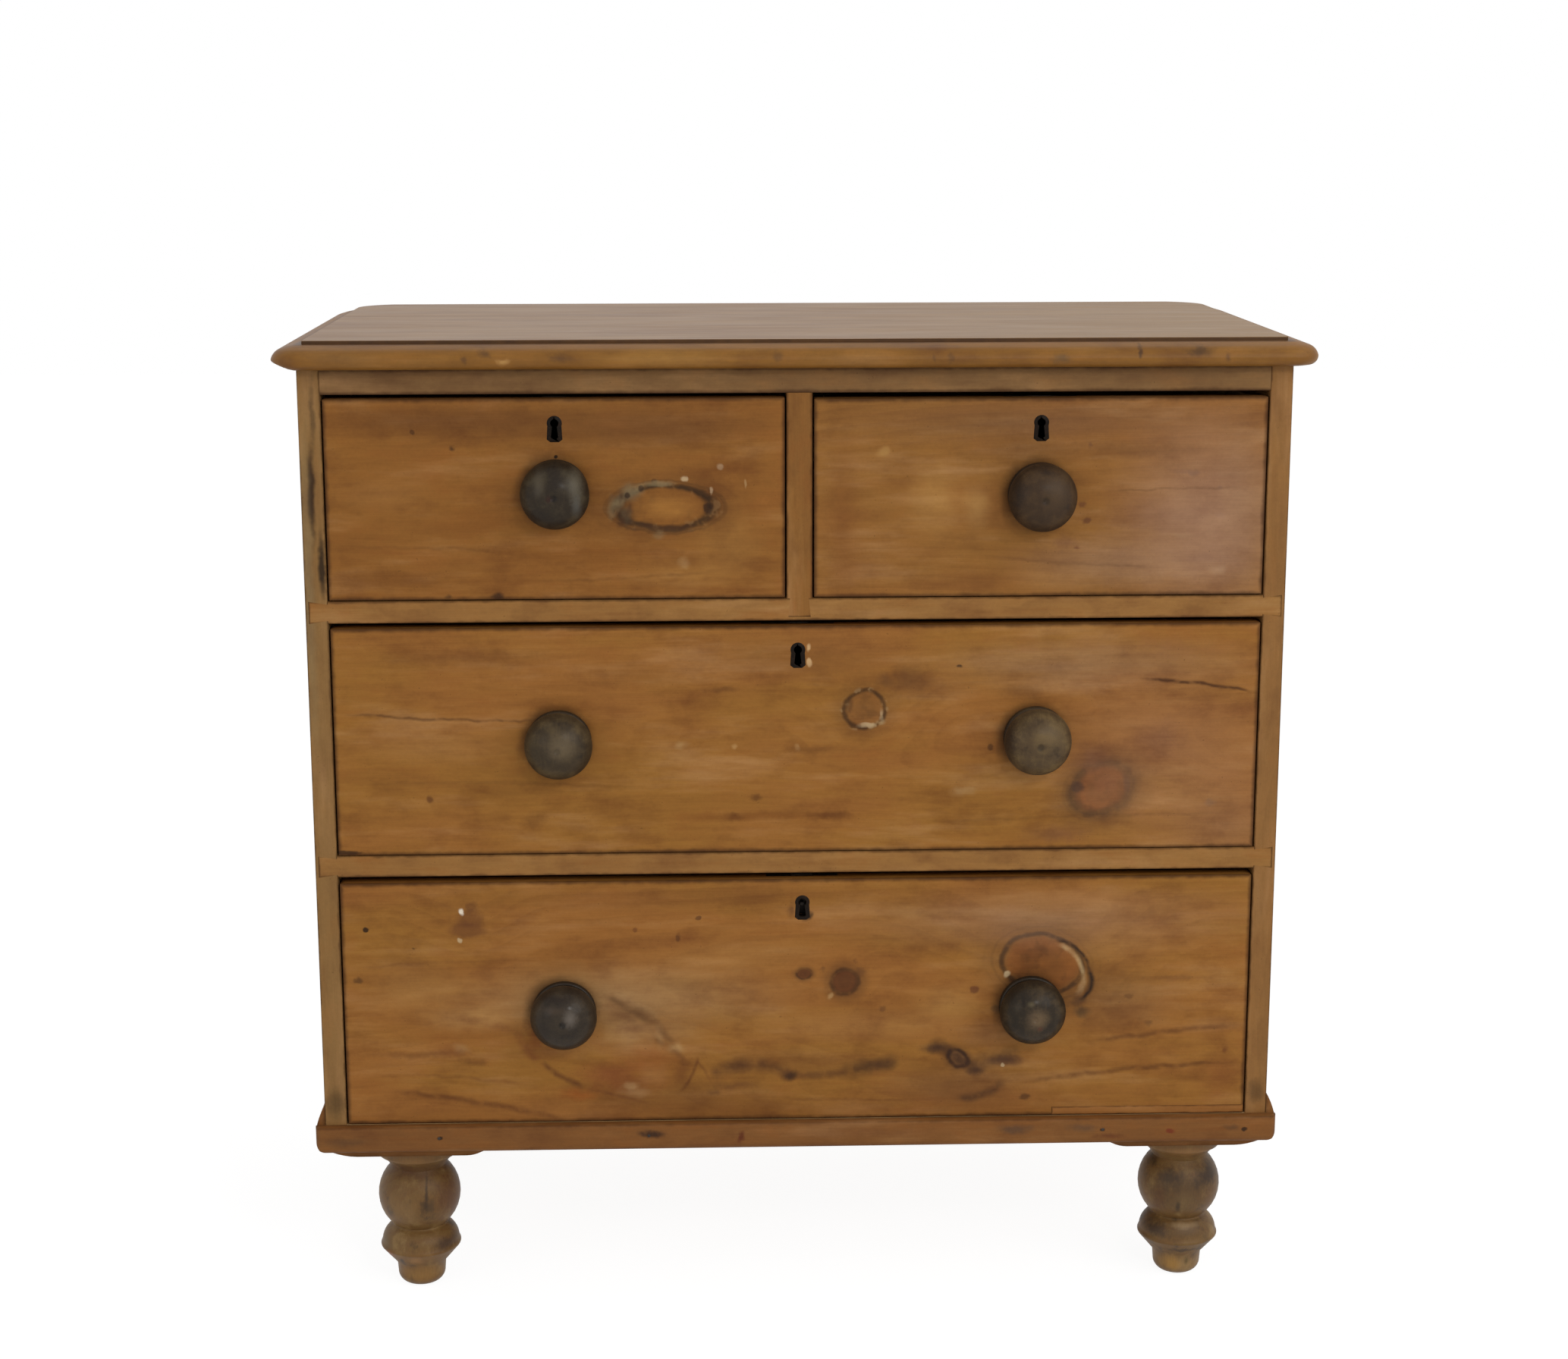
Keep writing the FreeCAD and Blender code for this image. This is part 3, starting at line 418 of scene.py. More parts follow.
def draw_knot(f, colour, x, z, wide, high, looks, flecks):
    """Lays a knot on the wood."""
    angle = math.radians(looks.tilt)
    size = min(wide, high)
    side = f.toward((math.cos(angle) / wide, 0, math.sin(angle) / wide), (x, 0, z))
    rise = f.toward((-math.sin(angle) / high, 0, math.cos(angle) / high), (x, 0, z))
    reach = (side * side + rise * rise).root()
    colour = f.mix(reach.fade(2.1, 0.95) * looks.halo, colour, srgb(70, 42, 24))
    heart = f.mix((reach * 5.0).math("SINE").fade(-0.2, 1.0) * 0.22, srgb(*looks.heart), srgb(*looks.ring))
    heart = f.mix(flecks.fade(0.5, 0.7) * 0.35, heart, srgb(*looks.ring))
    colour = f.mix(reach.fade(1.02, 0.78) * looks.share, colour, heart)
    if looks.ripples:
        wave = (reach * (size * 1.1) + flecks * 1.5).math("SINE").fade(0.1, 0.9)
        wave = wave * reach.fade(1.65, 1.1) * reach.fade(0.8, 1.0)
        colour = f.mix(wave * looks.ripples, colour, srgb(*looks.ring))
    away = abs(reach - 1.0)
    bark = away.fade(looks.line, looks.line * 0.1) * (flecks.fade(0.3, 0.56) * 0.6 + 0.4)
    colour = f.mix(bark * looks.dark, colour, srgb(*looks.ring))
    if looks.chips:
        chips = away.fade(looks.line * 1.3, looks.line * 0.5) * flecks.fade(0.46, 0.36)
        colour = f.mix(chips * looks.chips, colour, srgb(160, 132, 92))
    return colour, bark


def waxed_pine(
    node, order, seed, knots=(), marks=(), cracks=(), bends=(), early=None, gold=None, late=None, dirt=0.8,
    dirt_width=4.5, haze=0.3, pitch=6.5, behind=52.0, swirl=20.0, red=0.5, blotch=1.0, sheen=0.1,
    worn_and_sheen_flat=False,
):
    """Old pine under wax: faint growth lines, patches of red and grey, knots, marks and dirt."""
    tones = colours()
    f = Finish("waxed_" + node, coat_weight=sheen / 4, coat_roughness=0.4, specular_ior_level=sheen)
    low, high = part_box(node)
    middle = [(a + b) / 2 / MM for a, b in zip(low, high)]
    grain = Grain(f, order, middle, seed, pitch, behind, swirl=swirl)
    for x, z, wide, tall, looks in knots:
        grain.bend(x, z, wide * 2.2, tall * 1.9, min(wide, tall) * 1.2 + 3.0)
    for bend in bends:
        grain.bend(*bend)
    late_mask = grain.late() * grain.years()
    broad = f.cloud(grain.sized(240.0, 60.0), 3.0, seed + 3)
    patch = f.cloud(grain.sized(150.0, 26.0), 4.0, seed + 9, 0.6)
    smear = f.cloud(grain.sized(120.0, 9.0), 3.0, seed + 12, 0.55)
    mottle = f.cloud(grain.sized(46.0, 27.0), 4.0, seed + 33, 0.6)
    fibre = f.cloud(grain.sized(46.0, 0.9), 3.0, seed + 5, 0.6)
    pore = f.cloud(grain.sized(9.0, 0.6), 1.0, seed + 15)
    fleck = f.cloud((2.6, 2.6, 2.6), 2.0, seed + 21)
    lump = f.cloud((11.0, 11.0, 11.0), 2.0, seed + 27)
    f.jog(21.0, 6.5, seed + 41)
    uneven = lump.fade(0.32, 0.58) * 0.5 + 0.5
    gold = gold or early or tones.gold
    early = early or tones.early
    colour = f.mix(broad.fade(0.36, 0.64), early, gold)
    colour = f.mix(late_mask * LATE_SHARE, colour, late or tones.late)
    colour = f.mix(smear.fade(0.48, 0.74) * (red * 0.7), colour, tones.red)
    colour = f.mix(mottle.fade(0.48, 0.72) * red, colour, tones.red)
    colour = f.mix(patch.fade(0.48, 0.74) * haze, colour, tones.haze)
    ragged = (fleck - 0.5) * 1.8 + (lump - 0.5) * 8.0
    sunk = 0.0
    for x, z, wide, tall, looks in knots:
        colour, bark = draw_knot(f, colour, x, z, wide, tall, looks, lump)
        sunk = bark * 0.6 + sunk
    for x, z, wide, tall, mark, share, soft in marks:
        spread = 1.0 + soft * 0.35
        torn = soft / math.sqrt(wide * tall)
        mask = f.spot(x, z, wide * spread, tall * spread, soft, ragged, torn, share)
        colour = f.mix(mask, colour, srgb(*mark))
        if soft < SMEAR:
            sunk = mask * 0.7 + sunk
    for start, end, width, share, bowed, line_colour in cracks:
        mask = f.streak(start, end, width, bowed, share) * uneven
        colour = f.mix(mask, colour, srgb(*line_colour))
        sunk = mask * 0.3 + sunk
    level = patch * (blotch * 0.9) + smear * (blotch * 0.4) + mottle * (blotch * 1.3) + (1.0 - blotch * 1.27)
    browner = f.node("ShaderNodeCombineColor", {}, {0: level * 0.8 + 0.2, 1: level, 2: level * 0.95 + 0.05})
    colour = f.mix(1.0, colour, browner, "MULTIPLY")
    colour = f.mix(1.0, colour, f.shade(fibre * 0.24 + fleck * 0.16 + 0.8), "MULTIPLY")
    colour = f.mix(pore.fade(0.68, 0.86) * 0.25, colour, tones.grime_and_shade)
    colour = f.mix(fleck.fade(0.7, 0.78) * 0.3, colour, tones.grime_and_shade)
    soil = edge_dirt(f, node, dirt_width, (patch - 0.5) * 3.0 + (lump - 0.5) * 3.0)
    colour = f.mix(soil * dirt, colour, srgb(56, 32, 15))
    if worn_and_sheen_flat:
        colour = flat_wear_and_sheen(f, colour, seed, smear, pore, lump)
    rough = patch * 0.2 + fibre * 0.1 + soil * 0.2 + 0.36
    height = fibre * 0.3 + late_mask * 0.15 + pore.fade(0.6, 0.9) * -0.3 + broad * 0.8 + lump * 0.3 - sunk
    return f.paint(colour, rough, height, 0.22, 0.7)


def flat_wear_and_sheen(f, colour, seed, smear, pore, lump):
    """The top's flat, where the wax has gone and a pale painted sheen lies on it, and the dirt and painted
    shade in the step round it.
    """
    tones = colours()
    worn = f.cloud((190.0, 34.0, 60.0), 4.0, seed + 50, 0.6)
    step = f.z.fade(TOP - 4.0, TOP - 2.8) * f.z.fade(TOP - 0.05, TOP - 0.6)
    # the flat's pale grey is partly worn wax and partly painted sheen
    flat = f.mix(worn.fade(0.36, 0.68) * 0.75, tones.worn_and_sheen_top, srgb(128, 96, 70))
    golden = f.x.fade(-100.0, 460.0, 0.55)
    flat = f.mix(golden, flat, srgb(150, 118, 66))
    flat = f.mix(smear.fade(0.5, 0.72) * 0.5, flat, srgb(176, 150, 124))
    flat = f.mix(pore.fade(0.66, 0.8) * 0.3, flat, tones.late)
    colour = f.mix(f.z.fade(TOP - 0.7, TOP - 0.1) * 0.7, colour, flat)
    # the step round the flat darkens: dirt and painted shade
    return f.mix(step * (lump * 0.4 + 0.6), colour, srgb(58, 36, 18))


def raw_pine(name, order, seed, middle=(0, 0, 500), share=0.6, dusty=0.3, boards=None):
    """Unfinished pine, browned by air and dust. Boards are the first one's edge and the width of each."""
    tones = colours()
    f = Finish("raw_" + name)
    grain = Grain(f, order, middle, seed, 4.6, 60.0, 0.06, 30.0)
    late_mask = grain.late() * grain.years()
    broad = f.cloud(grain.sized(200.0, 60.0), 4.0, seed + 3, 0.6)
    fibre = f.cloud(grain.sized(40.0, 0.9), 3.0, seed + 5, 0.6)
    saw = f.cloud(grain.sized(2.2, 60.0), 1.0, seed + 7)
    colour = f.mix(late_mask * share, tones.raw_early, tones.raw_late)
    colour = f.mix(broad.fade(0.45, 0.75) * dusty * 1.6, colour, tones.dust)
    colour = f.mix(1.0, colour, f.shade(fibre * 0.5 + 0.72), "MULTIPLY")
    if boards:
        start, step = boards
        place = (f.x - start) / step
        own = (place.math("FLOOR") * 0.382 + seed).part()
        colour = f.mix(1.0, colour, f.shade(own * 0.22 + 0.88), "MULTIPLY")
        colour = f.mix(abs(place.part() - 0.5).fade(0.487, 0.494) * 0.85, colour, tones.grime_and_shade)
    rough = broad * 0.15 + 0.62
    return f.paint(colour, rough, fibre * 0.5 + late_mask * 0.2 + saw * 0.15, 0.3, 0.8)


def turned_pine(node, seed, marks):
    """A turned foot: growth shells cut by the lathe, and patches of dirt and worn-off wax."""
    tones = colours()
    f = Finish("turned_" + node, coat_weight=0.04, coat_roughness=0.4, specular_ior_level=0.22)
    low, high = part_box(node)
    middle = [(a + b) / 2 / MM for a, b in zip(low, high)]
    grain = Grain(f, "zxy", middle, seed, 5.0, 16.0, 0.03, 14.0)
    late_mask = grain.late()
    patch = f.cloud((17.0, 17.0, 26.0), 4.0, seed + 3, 0.6)
    fleck = f.cloud((3.0, 3.0, 4.0), 3.0, seed + 8, 0.6)
    lump = f.cloud((10.0, 10.0, 12.0), 2.0, seed + 12)
    fibre = f.cloud((0.9, 0.9, 40.0), 3.0, seed + 5, 0.6)
    ring = f.cloud((400.0, 400.0, 0.8), 1.0, seed + 6)
    colour = f.mix(late_mask * 0.2, tones.foot, tones.late)
    colour = f.mix(patch.fade(0.5, 0.72) * 0.6, colour, srgb(142, 114, 70))
    colour = f.mix(patch.fade(0.46, 0.26) * 0.75, colour, srgb(52, 37, 22))
    ragged = (fleck - 0.5) * 0.5 + (lump - 0.5) * 0.7
    for x, z, wide, tall, mark, share in marks:
        colour = f.mix(f.spot(middle[0] + x, z, wide, tall, 0.9, ragged, 1.0, share), colour, srgb(*mark))
    colour = f.mix(1.0, colour, f.shade(fibre * 0.4 + fleck * 0.2 + 0.7), "MULTIPLY")
    rough = patch * 0.2 + 0.4
    return f.paint(colour, rough, fibre * 0.3 + ring * 0.3 + patch * 0.4, 0.3, 0.8)


class Turned:
    """How one knob looks: its wood, its worn patches, how worn it is, how it shines, and its marks, which
    hold painted highlights and painted shade as well as wear and dirt.
    """

    def __init__(self, wood, worn, share, shine, marks):
        self.wood = wood
        self.worn = worn
        self.share = share
        self.shine = shine
        self.marks = marks


# A knob's marks have their places from its middle, then half widths and heights, colours and strengths. Pale
# marks on the face, right of and above the middle, are painted highlights; dark marks along the left side
# and the upper edge are painted shade; the rest are worn patches and dirt.
KNOB_LOOKS = {
    "left_drawer_knob": Turned((44, 35, 24), (76, 66, 48), 0.35, 0.34, [
        (19, 10, 9.6, 24, (98, 90, 74), 0.7), (-13, 14, 8, 17.6, (88, 78, 62), 0.55),
        (20, -8, 6.4, 16, (90, 88, 82), 0.5), (1, 13, 9.6, 20.8, (32, 24, 17), 0.6),
        (-14, -20, 24, 17.6, (34, 27, 20), 0.6), (-4, -1, 4.5, 5.2, (48, 26, 18), 0.8),
    ]),
    "right_drawer_knob": Turned((58, 42, 27), (80, 60, 38), 0.45, 0.44, [
        (8, 6, 22, 22, (86, 66, 44), 0.45), (-24, 8, 10, 24, (36, 25, 16), 0.7),
        (-6, 0, 5, 26, (50, 35, 22), 0.5), (0, 24, 8, 5, (36, 24, 16), 0.6),
    ]),
    "middle_drawer_knob_left": Turned((60, 48, 32), (92, 76, 50), 0.5, 0.38, [
        (4, 4, 20.8, 19.2, (112, 96, 72), 0.6), (-22, 0, 11.2, 35.2, (52, 42, 26), 0.6),
        (12, -14, 16, 12.8, (58, 46, 32), 0.5),
    ]),
    "middle_drawer_knob_right": Turned((80, 63, 42), (108, 88, 56), 0.5, 0.42, [
        (-27, 2, 9.6, 41.6, (44, 31, 20), 0.85), (-16, 20, 19.2, 11.2, (52, 38, 24), 0.6),
        (8, 8, 22.4, 16, (122, 100, 66), 0.5), (2, 0, 7.8, 5.2, (62, 48, 34), 0.5),
    ]),
    "bottom_drawer_knob_left": Turned((50, 41, 31), (72, 60, 44), 0.3, 0.24, [
        (7, 6, 9.6, 12.8, (116, 106, 96), 0.6), (-4, 22, 28.6, 5.2, (34, 24, 18), 0.7),
        (-8, 13, 19.5, 5.2, (78, 62, 48), 0.4), (-20, -6, 11.2, 25.6, (40, 32, 25), 0.5),
    ]),
    "bottom_drawer_knob_right": Turned((44, 35, 24), (84, 68, 46), 0.35, 0.3, [
        (2, 0, 14.4, 14.4, (126, 102, 74), 0.6), (4, -9, 3.9, 3.9, (84, 50, 34), 0.7),
        (-11, 14, 3.9, 7.8, (28, 20, 14), 0.8), (-4, 14, 5.2, 3.9, (110, 96, 70), 0.5),
        (-20, 4, 11.2, 28.8, (36, 30, 20), 0.6),
    ]),
}


def knob_wood(node, seed):
    """A knob of dark hardwood: end grain on its face, worn round the rim, dark in its dimple, with painted
    shade on its outer rim and in its neck.
    """
    tones = colours()
    looks = KNOB_LOOKS[node]
    f = Finish("wood_" + node, coat_weight=0.13, coat_roughness=looks.shine - 0.08, specular_ior_level=0.1)
    low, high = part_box(node)
    x, z = ((low[k] + high[k]) / 2 / MM for k in (0, 2))
    radius = (high.x - low.x) / 2 / MM
    side, rise = f.x - x, f.z - z
    reach = (side * side + rise * rise).root() / radius
    ray = rise.math("ARCTAN2", side)
    patch = f.cloud((14.0, 30.0, 12.0), 4.0, seed, 0.6)
    streaks = f.cloud((3.4, 60.0, 22.0), 3.0, seed + 4, 0.6)
    fleck = f.cloud((2.4, 2.4, 2.4), 3.0, seed + 8, 0.6)
    line = {"noise_dimensions": "1D"}
    scratch = f.node("ShaderNodeTexNoise", line, {"W": reach * 46.0 + seed, "Detail": 2.0})
    shake = f.node("ShaderNodeTexNoise", line, {"W": ray * 5.0 + seed, "Detail": 3.0})
    colour = f.mix(patch.fade(0.46, 0.7) * looks.share, srgb(*looks.wood), srgb(*looks.worn))
    colour = f.mix(streaks.fade(0.52, 0.76) * (looks.share * 0.7), colour, srgb(*looks.worn))
    colour = f.mix(patch.fade(0.46, 0.28) * 0.5, colour, srgb(28, 21, 16))
    # painted shade: the head darkens towards its outer rim
    rim = reach.fade(0.86, 1.0) * f.y.fade(FACE - 20.0, FACE - 26.0)
    colour = f.mix(rim * 0.45, colour, srgb(30, 22, 16))
    worn_rim = reach.fade(0.55, 0.8) * reach.fade(1.0, 0.82) * patch.fade(0.4, 0.62)
    colour = f.mix(worn_rim * looks.share, colour, srgb(*looks.worn))
    colour = f.mix(shake.fade(0.68, 0.76) * reach.fade(0.06, 0.3) * 0.35, colour, srgb(18, 14, 11))
    colour = f.mix(reach.fade(0.16, 0.05) * 0.7, colour, srgb(18, 14, 11))
    ragged = (fleck - 0.5) * 0.9
    # the marks lay painted highlights and painted shade on the knob, besides its worn patches and dirt
    for right, up, wide, tall, mark, share in looks.marks:
        colour = f.mix(f.spot(x + right, z + up, wide, tall, 1.0, ragged, 0.7, share), colour, srgb(*mark))
    colour = f.mix(1.0, colour, f.shade(fleck * 0.4 + 0.78), "MULTIPLY")
    # painted shade in the neck and on the flange behind the head
    neck = f.y.fade(FACE - 17.0, FACE - 11.0)
    colour = f.mix(neck * 0.6, colour, tones.grime_and_shade)
    rough = patch * 0.25 + streaks * 0.1 + looks.shine
    return f.paint(colour, rough, patch * 0.7 + streaks * 0.3 + scratch * 0.35, 0.35, 0.9)


def metal(name, colour, shine, seed, gloss=0.5, worn=0.4):
    """Old metal with a dull skin and brighter worn places. Without shine its skin hides all the metal."""
    f = Finish(name, specular_ior_level=gloss)
    skin = f.cloud((5.0, 5.0, 5.0), 4.0, seed, 0.65)
    grit = f.cloud((0.9, 0.9, 0.9), 2.0, seed + 3)
    tinted = f.mix(skin.fade(0.4, 0.7) * (worn + 0.3), colour, srgb(46, 30, 20))
    tinted = f.mix(grit.fade(0.62, 0.8) * worn, tinted, srgb(150, 132, 104))
    height = grit * 0.5 + skin * 0.5
    bare = {"Metallic": skin.fade(0.8, 0.3) * shine} if shine else {}
    return f.paint(tinted, skin * 0.3 + 0.35, height, 0.1, 0.7, **bare)


# ---- making pieces -------------------------------------------------------------------------------
def piece(name, bm, body, slot, material):
    """Links a finished mesh as a piece that moves with a body."""
    mesh = bpy.data.meshes.new(name)
    bm.to_mesh(mesh)
    bm.free()
    mesh.materials.append(material)
    made = bpy.data.objects.new(name, mesh)
    bpy.context.scene.collection.objects.link(made)
    mesh.shade_smooth()
    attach(made, body)
    return made


def even_shading(made, angle=40.0):
    """Keeps broad faces flat beside their rounded edges."""
    made.data.set_sharp_from_angle(angle=math.radians(angle))
    weighted = made.modifiers.new("Even shading", "WEIGHTED_NORMAL")
    weighted.keep_sharp = True


def on_box_edge(edge, low, high, slack=1e-5):
    """Whether an edge lies along one of its piece's twelve outermost edges."""
    faces = 0
    for axis in range(3):
        for limit in (low[axis], high[axis]):
            faces += all(abs(vert.co[axis] - limit) < slack for vert in edge.verts)
    return faces >= 2


def worn_board(node, material, everywhere=False, width=None, shape=None):
    """A board with its arrises worn round, in place of the node that has them sharp."""
    bm = bmesh.new()
    bm.from_mesh(frame["nodes"][node].data)
    bmesh.ops.remove_doubles(bm, verts=bm.verts, dist=1e-6)
    bmesh.ops.dissolve_limit(bm, angle_limit=math.radians(0.5), verts=bm.verts, edges=bm.edges)
    if shape:
        shape(bm)
    low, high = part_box(node)
    shared = [edge for edge in bm.edges if len(edge.link_faces) == 2]
    sharp = [edge for edge in shared if edge.calc_face_angle() > math.radians(35)]
    if not everywhere:
        sharp = [edge for edge in sharp if on_box_edge(edge, low, high)]
    bmesh.ops.bevel(
        bm, geom=sharp, offset=width or sizes().arris, offset_type="OFFSET", affect="EDGES", segments=3,
        profile=0.5, clamp_overlap=True, material=-1,
    )
    bmesh.ops.recalc_face_normals(bm, faces=bm.faces)
    made = piece("worn_" + node, bm, body_of(node), slot_of(node), material)
    even_shading(made)
    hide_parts(node)
    return made


def dress(node, material):
    """Gives a CAD node its finish."""
    mesh = frame["nodes"][node].data
    mesh.materials.clear()
    mesh.materials.append(material)


def bow(start, middle, end, steps):
    """Points on the arc through three points, without its start."""
    (ax, ay), (bx, by), (cx, cy) = start, middle, end
    d = 2 * (ax * (by - cy) + bx * (cy - ay) + cx * (ay - by))
    squares = [x * x + y * y for x, y in (start, middle, end)]
    ux = (squares[0] * (by - cy) + squares[1] * (cy - ay) + squares[2] * (ay - by)) / d
    uy = (squares[0] * (cx - bx) + squares[1] * (ax - cx) + squares[2] * (bx - ax)) / d
    radius = math.hypot(ax - ux, ay - uy)
    first, mid, last = (math.atan2(y - uy, x - ux) for x, y in (start, middle, end))
    turn = (last - first) % math.tau
    if (mid - first) % math.tau > turn:
        turn -= math.tau
    angles = [first + turn * (k + 1) / steps for k in range(steps)]
    return [(ux + radius * math.cos(a), uy + radius * math.sin(a)) for a in angles]


def profile(start, *steps, smooth=10):
    """The outline of a turning. A step is a point, or an arc's middle and end together."""
    points = [start]
    for step in steps:
        if len(step) == 4:
            points += bow(points[-1], step[:2], step[2:], smooth)
        else:
            points.append(step)
    return points


def turning(node, points, centre, axis, seed, material, wear):
    """Spins an outline of (radius, height) points into a lathe piece that has worn unevenly."""
    bm = bmesh.new()
    outward = Vector((1, 0, 0))
    verts = [bm.verts.new(centre + outward * (r * MM) + axis * (h * MM)) for r, h in points]
    edges = [bm.edges.new(pair) for pair in zip(verts, verts[1:])]
    bmesh.ops.spin(
        bm, geom=verts + edges, cent=centre, axis=axis, angle=math.tau, steps=sizes().turning_steps,
        use_merge=True,
    )
    bmesh.ops.remove_doubles(bm, verts=bm.verts, dist=1e-6)
    bmesh.ops.recalc_face_normals(bm, faces=bm.faces)
    for vert in bm.verts:
        out = vert.co - centre
        height = out.dot(axis)
        out -= axis * height
        if out.length > 1e-5:
            worn = 0.5 + 0.5 * noise.noise(vert.co * 38.0 + Vector((seed, 0, 0)))
            vert.co -= out.normalized() * (worn * wear)
    made = piece("turned_" + node, bm, body_of(node), slot_of(node), material)
    made.data.set_sharp_from_angle(angle=math.radians(38))
    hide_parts(node)
    return made


# Radii and heights in millimetres, from the floor for a foot and out of the drawer's front for a knob.
FOOT_OUTLINE = profile(
    (0, 0), (12.3, 0), (19.3, 3.2, 22.5, 11), (23.3, 21), (37.6, 38), (38.1, 39.6, 37.4, 41.6),
    (36.6, 44.4), (33.0, 53.5, 25.6, 59.4), (25.2, 60.2), (25.7, 61), (38.9, 90, 27.1, 118.6),
    (26.6, 119.6), (27.1, 120.6), (31.2, 126.6, 38.0, 132), (38.9, 134), (39.0, 146), (13, 146), (13, 171),
    (0, 171),
)
KNOB_OUTLINE = profile(
    (0, -20), (9, -20), (9, 0), (28.6, 0), (29.5, 1.4, 29.3, 3.4), (28.6, 5.4, 26.8, 6.0), (24.6, 6.2),
    (20.0, 9.3, 24.4, 12.6), (27.4, 13.4), (30.1, 16.4, 30.5, 21.0), (19.7, 36.1, 3.4, 40.9),
    (2.6, 40.5, 1.8, 40.0), (0, 39.9),
)


# ---- the marks of this chest ---------------------------------------------------------------------
# A mark has its X and Z on the front in millimetres, half its width and height, its colour, how strong it
# is and how soft. A knot has its looks after the sizes. A crack has its two ends, its width, how strong it
# is, how far it bows and its colour. A bend, where the growth lines part, ends with how far it lifts them.
TAN = (172, 138, 92)
CREAM = (188, 162, 124)
UMBER = (46, 29, 18)
PLUM = (104, 66, 52)
GREEN_GREY = (128, 112, 82)
CRACK = (66, 38, 20)
LEFT_FRONT = dict(
    early=srgb(134, 87, 38),
    gold=srgb(134, 88, 38),
    knots=[(-117.9, 756.9, 43, 19, BARE_KNOT)],
    marks=[
        (-215, 832, 190, 22, (92, 58, 30), 0.4, 1.0),
        (-112.7, 757, 32, 12, (152, 102, 46), 0.6, 0.8),
        (-152, 757, 11, 18, (84, 54, 28), 0.5, 1.0),
        (-149, 770, 12, 8, GREEN_GREY, 0.55, 0.9),
        (-160, 762, 6, 8, GREEN_GREY, 0.5, 0.9),
        (-152, 750, 5, 9, GREEN_GREY, 0.45, 0.9),
        (-152, 768, 3.0, 3, UMBER, 0.8, 0.5),
        (-140, 773, 2.4, 3, UMBER, 0.75, 0.5),
        (-128, 779, 3.0, 2, UMBER, 0.5, 0.7),
        (-153, 748, 9, 11, UMBER, 0.6, 0.8),
        (-166, 756, 4, 13, GREEN_GREY, 0.35, 0.8),
        (-126, 777, 14, 3, GREEN_GREY, 0.45, 0.7),
        (-101, 782.5, 3.6, 2.2, CREAM, 0.75, 0.7),
        (-69, 793, 3, 2.2, CREAM, 0.55, 0.8),
        (-76.6, 771.4, 1.8, 3.4, CREAM, 0.7, 0.6),
        (-46.6, 778, 1.2, 4, TAN, 0.6, 0.7),
        (-79.9, 756.6, 5, 5.5, UMBER, 0.8, 0.5),
        (-120, 737, 34, 3.0, (70, 46, 26), 0.6, 0.9),
        (-124, 732, 8, 4, GREEN_GREY, 0.25, 0.9),
        (-214.8, 803, 2.2, 2.4, (24, 17, 12), 0.95, 0.4),
        (-339.8, 825.8, 1.8, 1.6, UMBER, 0.6, 0.6),
        (-306.5, 809.7, 3.2, 3.0, UMBER, 0.75, 0.8),
        (-312, 677, 5.0, 2.8, UMBER, 0.6, 0.8),
        (-267.5, 677.5, 6.5, 3.4, UMBER, 0.8, 0.8),
        (-369, 770, 46, 16, (150, 104, 54), 0.4, 1.0),
        (-330, 836, 110, 14, (84, 48, 22), 0.5, 1.0),
        (-363, 693, 60, 10, (96, 54, 22), 0.45, 1.0),
        (-120, 826, 90, 20, (92, 56, 28), 0.5, 1.0),
        (-290, 748, 40, 16, (112, 66, 24), 0.4, 1.0),
        (-195, 715, 60, 14, (112, 66, 24), 0.45, 1.0),
        (-100, 697, 50, 16, (164, 118, 60), 0.35, 1.0),
        (-103, 706, 6, 5, TAN, 0.4, 0.9),
        (-60, 720, 34, 30, (150, 108, 54), 0.4, 1.0),
    ],
    cracks=[
        ((-410, 722), (-250, 716), 2.6, 0.22, 3.0, CRACK),
        ((-260, 690), (-60, 700), 2.4, 0.2, -2.0, CRACK),
        ((-146, 742), (-88, 742), 2.6, 0.6, -3.0, CRACK),
        ((-162, 738), (-148, 764), 4.0, 0.5, -3.0, CRACK),
        ((-166, 744), (-158, 774), 3.0, 0.4, -3.0, CRACK),
    ],
)
